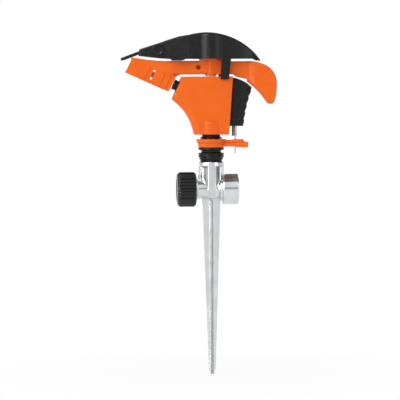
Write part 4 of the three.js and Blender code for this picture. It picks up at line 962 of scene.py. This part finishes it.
def cover_foot(side):
    """The leg's foot, which turns in towards the body."""
    front, rear, top = LEG_FRONT - 1.2, LEG_FRONT + LEG_WIDTH - 1.2, BODY_TOP - 0.4
    outline = [(front, LEG_BOTTOM), (rear, LEG_BOTTOM), (rear, top), (front, top)]
    ends = sorted([side * (BODY_HALF + 0.15), side * (COVER_HALF - 1.1)])
    return plate(eased(outline, 0.4), ends[0], ends[1], 0.3)


cover = piece("domed_bridge_cover", cover_shell(0, COVER_BOTTOM), "head", "bridge_cover", "black_plastic",
              cut=[cover_shell(WALL, COVER_BOTTOM - 10)])
pin_boss = rod(5, COVER_TOP - 11.2, COVER_TOP - 1.2, "z", 48)
combine(cover, [pin_boss, cover_leg(-1), cover_leg(1), cover_foot(-1), cover_foot(1)], "UNION")
combine(cover, [rod(2.2, COVER_BOTTOM, COVER_TOP - 4.9, "z", 40)], "DIFFERENCE")

bonnet_low, bonnet_high = box_mm("front_bonnet")
NOSE, BONNET_REAR = bonnet_low[0], bonnet_high[0] + 0.2
NOSE_HALF, BONNET_REAR_HALF = 9.6, 15.3
FLAP_PIVOT_X, FLAP_PIVOT_Z = -55.9, 156.9
PIVOT_BORE, PIVOT_BOSS_REACH, PIVOT_BOSS_RADIUS, FLAP_HUB_RADIUS = 1.95, 13.3, 6.3, 4.9


def bonnet_half(x):
    """The bonnet's half-width, a straight run from the nose to the rear."""
    return np.interp(x, [NOSE, BONNET_REAR], [NOSE_HALF, BONNET_REAR_HALF])


def bonnet_solid():
    """The bonnet's outside: a soft-edged wedge whose half-width, floor and roof are straight runs of X."""
    x = np.concatenate([NOSE + np.array([0, 0.15, 0.5, 1.1, 2]), np.linspace(NOSE + 3, BONNET_REAR - 1, 90),
                        BONNET_REAR - np.array([0.5, 0.2, 0.05, 0])])
    low = np.interp(x, [NOSE, -53.9, -41, -40.3, -28.7, -28], [151.3, 148.8, 148.0, 146.4, 146.4, 148.0])
    high = np.interp(x, [NOSE, -74.3, -34, -24.9, BONNET_REAR], [155.9, 158.7, 171.4, 173.0, 173.2])
    from_end = np.minimum(x - NOSE, 2.5 * (BONNET_REAR - x))
    draw = 0.6 * (1 - np.sqrt(np.clip(1 - np.clip(1 - from_end / 0.6, 0, 1) ** 2, 0, 1)))
    return loft(hood_rings(x, bonnet_half(x) - draw, low, high - 0.5 * draw, 1.4, 0.4))


def bonnet_hollow():
    """The space inside the bonnet: open below, and open above in front of the roof's edge."""
    x = np.array([NOSE - 5, -49.01, -49.0, -34, BONNET_REAR - WALL])
    high = np.array([176.0, 176.0, 164.8, 169.1, 171.1])
    return loft(hood_rings(x, bonnet_half(x) - WALL, np.full(5, 138.0), high, 0.6, 0.0, 4))


def at_pivot(made):
    """A solid turned round Y, carried to the flap's pivot."""
    return moved(made, (FLAP_PIVOT_X, 0, FLAP_PIVOT_Z))


def pivot_drum(radius, start, end, radii):
    """A round drum on the pivot with eased rims."""
    profile = eased([(0, start), (radius, start), (radius, end), (0, end)], radii, closed=False)
    return at_pivot(turned(profile, "y", 64))


def pivot_boss(side):
    """The round boss on one cheek of the bonnet."""
    inner = (bonnet_half(FLAP_PIVOT_X - 6) - WALL + 0.6) * side
    return pivot_drum(PIVOT_BOSS_RADIUS, inner, side * PIVOT_BOSS_REACH, [0, 0.1, 0.5, 0])


pivot_bore = at_pivot(rod(PIVOT_BORE, -20, 20, "y", 40))
bonnet = piece("front_bonnet_shell", bonnet_solid(), "head", "front_bonnet", "black_plastic",
               cut=[bonnet_hollow()])
combine(bonnet, [pivot_boss(-1), pivot_boss(1)], "UNION")
combine(bonnet, [pivot_bore], "DIFFERENCE")


def flap_pin():
    """The flap's pin: a slim rod with a wide head, dished in the middle, on the near side."""
    under_head, far_end = -PIVOT_BOSS_REACH - 0.15, PIVOT_BOSS_REACH
    profile = [(0, under_head - 0.6), (3.4, under_head - 0.7), (4.0, under_head - 1.0),
               (6.0, under_head - 1.0), (6.0, under_head), (1.8, under_head), (1.8, far_end), (0, far_end)]
    return at_pivot(turned(eased(profile, 0.25, closed=False), "y", 96))


piece("flap_pivot_pin", flap_pin(), "head", "deflector_pivot_pin", "black_plastic")


def flap_plate():
    """The flap's tongue: a plate, tangent to its hub, that thickens a little and ends in a rounded tip.

    Its top is a straight slope plus 1.4 mm of soft rise, and its section is flat above and below.
    """
    flap_low = box_mm("deflector_flap")[0]
    slope, tip = math.radians(20.5), flap_low[0] - FLAP_PIVOT_X
    x = np.concatenate([tip + np.array([0, 0.1, 0.3, 0.7, 1.3, 2.2, 3.4]), np.linspace(tip + 5, 1.5, 30)])
    rise = 1.4 * soft_step(-x - 6, 16)
    top = FLAP_PIVOT_Z + FLAP_HUB_RADIUS / math.cos(slope) + x * math.tan(slope) + rise
    half = 6.4 * np.sqrt(np.clip(1 - np.clip(1 - (x - tip) / 3.4, 0, 1) ** 2, 0.25, 1))
    thick = np.minimum(2.2 + rise, top - flap_low[2] - 0.02)
    section = [(-1, -0.7), (-1, -0.3), (-0.95, 0), (-0.5, 0), (0, 0), (0.5, 0), (0.95, 0), (1, -0.3),
               (1, -0.7), (0.95, -1), (0, -1), (-0.95, -1)]
    ring = [np.stack([FLAP_PIVOT_X + x, y * half, top + z * thick], -1) for y, z in section]
    return loft(np.array(ring).transpose(1, 0, 2))


hub_reach = bonnet_half(FLAP_PIVOT_X - FLAP_HUB_RADIUS) - WALL - 0.3
flap_hub = pivot_drum(FLAP_HUB_RADIUS, -hub_reach, hub_reach, [0, 0.4, 0.4, 0])
piece("deflector_tongue", flap_hub, "flap", "deflector_flap", "black_plastic", joined=[flap_plate()],
      cut=[pivot_bore])


# ---------------------------------------------------------------- trip lever and wire

sleeve_low, sleeve_high = box_mm("wire_sleeve")
wire_low, wire_high = box_mm("trip_wire")
WIRE_X, WIRE_PIVOT_Z = (wire_low[0] + wire_high[0]) / 2, BODY_BOTTOM + 11.8
BARREL_RADIUS, WIRE_PIN_BORE = 1.5, 0.85
LEVER_HALF, LEVER_BOTTOM, LEVER_TOP = 5.5, BODY_BOTTOM + 8.8, BODY_TOP - 1.2
RIDGES, RIDGED_TOP = 5, 116


def lever_front(s):
    """The lever's front: parallel to the body's rear edge, 1 mm behind it."""
    z = LEVER_BOTTOM + (LEVER_TOP - LEVER_BOTTOM) * s
    x = np.interp(z, [BODY_BOTTOM, BODY_TOP], [REAR_BOTTOM[0], REAR_TOP[0]]) + 1.0
    return np.stack([x, z], -1)


def lever_rear(s):
    """The lever's back: a bowed run with grip ridges, each a slow rise and a quick fall, then a round top."""
    crown = bezier([(42.6, 118), (35.6, 125.2), (lever_front(1.0)[0] + 0.6, LEVER_TOP)], 20)
    t = np.linspace(0, 1, 220)
    z = LEVER_BOTTOM + (RIDGED_TOP - LEVER_BOTTOM) * t
    phase = (t * RIDGES) % 1
    ridge = 0.6 * soft_step(phase, 0.55) * (1 - soft_step(phase - 0.72, 0.28))
    x = 33.3 + 8.7 * t - 5.2 * t * (1 - t) + ridge
    return through(np.vstack([np.stack([x, z], -1), crown]))(s)


def lever_relief(x, z):
    """The cheeks are pressed in slightly beside each ridge, towards the back."""
    t = (z - LEVER_BOTTOM) / (RIDGED_TOP - LEVER_BOTTOM)
    phase = (t * RIDGES) % 1
    near_back = soft_step(x - (26.5 + 8.0 * t), 2.0)
    ridge = soft_step(phase, 0.5) * (1 - soft_step(phase - 0.75, 0.25))
    return -0.9 * near_back * (1 - ridge) * (t < 1) * (t > 0)


def block(low, high, radii=0.0, edge=0.01, steps=1):
    """A block between two corners: eased round its outline, and drawn in by an arc at both faces."""
    outline = [(low[0], low[2]), (high[0], low[2]), (high[0], high[2]), (low[0], high[2])]
    return plate(eased(outline, radii), low[1], high[1], edge, steps)


finger_front = WIRE_X - 2 * BARREL_RADIUS - 0.3
lever_finger = block((finger_front, -2.2, sleeve_low[2]), (finger_front + 1.5, 2.2, LEVER_BOTTOM + 1.2),
                     [0.4, 0.4, 0, 0], 0.3, EDGE_STEPS)
wire_slot = block((WIRE_X - 1.8, -1.8, sleeve_low[2]), (60, 1.8, sleeve_high[2] + 0.6))
trip_pin_bore = moved(rod(1.95, 12, 30.3, "x", 40), (0, 0, 97.0))
wire_pin_bore = moved(rod(WIRE_PIN_BORE, -5.0, 5.0, "y", 24), (WIRE_X, 0, WIRE_PIVOT_Z))
spring_pocket = block((10, -2.9, 101.0), (31.0, 2.9, 115.0))
piece("ridged_trip_lever", slab(lever_front, lever_rear, LEVER_HALF, 0.9, 150, 26, lever_relief), "trip",
      "trip_lever", "black_plastic", joined=[lever_finger],
      cut=[wire_slot, trip_pin_bore, wire_pin_bore, spring_pocket])


def wire_barrel():
    """The rolled steel sleeve: a small tube with a crimped band near its lower end, turned round the wire."""
    low, high, inside, crimp = sleeve_low[2], sleeve_high[2] - 1.4, 0.8, 1.3
    profile = [(inside, low), (crimp, low), (BARREL_RADIUS, low + 0.3), (BARREL_RADIUS, low + 1.6),
               (crimp, low + 1.9), (crimp, low + 2.5), (BARREL_RADIUS, low + 2.8), (BARREL_RADIUS, high),
               (inside, high)]
    return moved(turned(eased(profile, 0.15, steps=3), "z", 48, closed=True), (WIRE_X, 0, 0))


ring = [(WIRE_PIN_BORE, -1.5), (BARREL_RADIUS, -1.5), (BARREL_RADIUS, 1.5), (WIRE_PIN_BORE, 1.5)]
eye = moved(turned(eased(ring, 0.2), "y", 40, closed=True), (WIRE_X, 0, WIRE_PIVOT_Z))
piece("crimped_wire_sleeve", eye, "wire", "wire_sleeve", "steel", joined=[wire_barrel()])


def wire_line():
    """The trip wire: a straight round wire with a rounded lower end."""
    low, high, runs = wire_low[2], wire_high[2], 30
    z = np.concatenate([[low, low + 0.15], np.linspace(low + 0.5, high - 0.3, runs), [high]])
    radius = np.concatenate([[0.25, 0.55], np.full(runs, 0.65), [0.6]])[:, None]
    angle = np.arange(20) * 2 * np.pi / 20
    x, y = WIRE_X + radius * np.cos(angle), radius * np.sin(angle)
    return loft(np.stack([x, y, np.broadcast_to(z[:, None], x.shape)], -1))


piece("straight_trip_wire", wire_line(), "wire", "trip_wire", "steel")


# ---------------------------------------------------------------- floor, light and camera


def pale_floor():
    """The floor: white to the camera and in reflections, with a share of real shading so a shadow stays.

    The share is 12 per cent near the object and fades to nothing between 0.19 m and 0.32 m from the middle.
    """
    material, tree = new_material("pale_studio_floor")
    rays = add(tree, "LightPath").outputs
    seen = add(tree, "Math", {0: rays["Is Camera Ray"], 1: rays["Is Glossy Ray"]}, operation="MAXIMUM")
    seen = add(tree, "Math", {0: seen.outputs[0], 1: rays["Is Transmission Ray"]}, operation="MAXIMUM")
    place = add(tree, "VectorMath", {0: add(tree, "TexCoord").outputs["Object"]}, operation="LENGTH")
    fade = add(tree, "MapRange", {"Value": place.outputs["Value"], "From Min": 0.19, "From Max": 0.32,
                                  "To Min": 0.88, "To Max": 1.0})
    share = add(tree, "Math", {0: seen.outputs[0], 1: fade.outputs["Result"]}, operation="MULTIPLY")
    paper = add(tree, "BsdfDiffuse", {"Color": linear("#f4f4f4")})
    dimmer = add(tree, "Math", {0: rays["Is Glossy Ray"], 1: -0.06, 2: 1.0}, operation="MULTIPLY_ADD")
    glow = add(tree, "Emission", {"Color": linear("#ffffff"), "Strength": dimmer.outputs[0]})
    mixed = add(tree, "MixShader", {0: share.outputs[0], 1: paper.outputs[0], 2: glow.outputs[0]})
    add(tree, "OutputMaterial", {"Surface": mixed.outputs[0]})
    return material


FLOOR_REACH = 30.0
floor_corners = [(x, y, cad_low[2] / FLOOR_REACH) for x, y in [(-1, -1), (1, -1), (1, 1), (-1, 1)]]
floor = mesh_object("studio_floor", (np.array(floor_corners) * FLOOR_REACH / MM, [[0, 1, 2, 3]]))
floor.data.materials.append(pale_floor())


def studio_world():
    """White behind the object; for gloss, a studio of soft boxes and dark gaps; for the rest, even grey."""
    world = bpy.data.worlds.new("studio")
    bpy.context.scene.world = world
    world.use_nodes = True
    tree = world.node_tree
    tree.nodes.clear()
    rays = add(tree, "LightPath").outputs
    way = add(tree, "SeparateXYZ", {0: add(tree, "TexCoord").outputs["Generated"]}).outputs
    front = add(tree, "Math", {0: way["Y"], 1: -1.0}, operation="MULTIPLY").outputs[0]

    def round_ramp(side, stops):
        """Greys by the angle in degrees from straight ahead towards one side."""
        angle = add(tree, "Math", {0: side, 1: front}, operation="ARCTAN2").outputs[0]
        share = add(tree, "MapRange", {"Value": angle, "From Min": -math.pi, "From Max": math.pi})
        colours = [((degrees + 180) / 360, (grey, grey, grey, 1)) for degrees, grey in stops]
        return add(tree, "ValToRGB", {"Fac": share.outputs["Result"]}, colours).outputs["Color"]

    upwards = round_ramp(way["Z"], [
        (-180, 1.0), (-135, 0.9), (-100, 0.55), (-66, 0.5), (-60, 0.12), (-53, 0.12), (-47, 0.75), (-4, 0.85),
        (3, 0.85), (7, 0.2), (12, 0.2), (17, 1.0), (56, 1.0), (61, 0.1), (76, 0.16), (108, 0.3), (118, 0.95),
        (180, 1.0)])
    sideways = round_ramp(way["X"], [
        (-180, 0.15), (-160, 0.15), (-152, 1.0), (-132, 1.0), (-120, 0.18), (-90, 0.15), (-82, 0.9),
        (-68, 0.9), (-60, 0.3), (-50, 0.3), (-46, 13.0), (-34, 13.0), (-30, 0.85), (-6, 0.9), (6, 0.85),
        (28, 0.95), (36, 0.9), (40, 3.0), (46, 3.0), (51, 0.3), (60, 0.25), (122, 0.22), (138, 1.0),
        (152, 1.0), (160, 0.15), (180, 0.15)])
    mirrored = add(tree, "VectorMath", {0: upwards, 1: sideways}, operation="MULTIPLY").outputs[0]
    even = add(tree, "Background", {"Color": linear("#ffffff"), "Strength": 0.55})
    studio = add(tree, "Background", {"Color": mirrored, "Strength": 1.0})
    white = add(tree, "Background", {"Color": linear("#ffffff"), "Strength": 1.0})
    lit = add(tree, "MixShader", {0: rays["Is Glossy Ray"], 1: even.outputs[0], 2: studio.outputs[0]})
    clear = add(tree, "Math", {0: rays["Is Camera Ray"], 1: rays["Is Transmission Ray"]}, operation="MAXIMUM")
    shown = add(tree, "MixShader", {0: clear.outputs[0], 1: lit.outputs[0], 2: white.outputs[0]})
    add(tree, "OutputWorld", {"Surface": shown.outputs[0]})


studio_world()


def soft_lamp(name, place, target, size, power):
    """A square soft lamp at a place, facing a target, in metres and watts."""
    data = bpy.data.lights.new(name, "AREA")
    data.shape = "SQUARE"
    data.size, data.energy = size, power
    lamp = bpy.data.objects.new(name, data)
    bpy.context.scene.collection.objects.link(lamp)
    lamp.location = place
    lamp.rotation_euler = (Vector(target) - Vector(place)).to_track_quat("-Z", "Y").to_euler()


middle = Vector((-0.012, 0, 0))
soft_lamp("key_soft_box", (-0.9, -1.4, 1.1), middle, 1.6, 16.0)
soft_lamp("left_soft_box", (-1.8, -0.7, 0.5), middle, 1.2, 9.0)
soft_lamp("fill_soft_box", (1.3, -1.3, 0.5), middle, 1.2, 4.0)

FRAME_WIDTH = 0.42
CAMERA_DISTANCE = 2.6
CAMERA_YAW, CAMERA_LIFT, CAMERA_ROLL = math.radians(-4.3), math.radians(2.5), math.radians(-0.3)
camera_data = bpy.data.cameras.new("product_camera")
camera_data.sensor_width = 36
camera_data.lens = 36 * CAMERA_DISTANCE / FRAME_WIDTH
camera_data.clip_end = 100
camera = bpy.data.objects.new("product_camera", camera_data)
bpy.context.scene.collection.objects.link(camera)
back = Vector((math.sin(CAMERA_YAW) * math.cos(CAMERA_LIFT), -math.cos(CAMERA_YAW) * math.cos(CAMERA_LIFT),
               math.sin(CAMERA_LIFT)))
camera.location = middle + back * CAMERA_DISTANCE
camera.rotation_euler = ((-back).to_track_quat("-Z", "Y") @ Quaternion((0, 0, 1), CAMERA_ROLL)).to_euler()
bpy.context.scene.camera = camera
bpy.context.scene.view_settings.view_transform = "Standard"
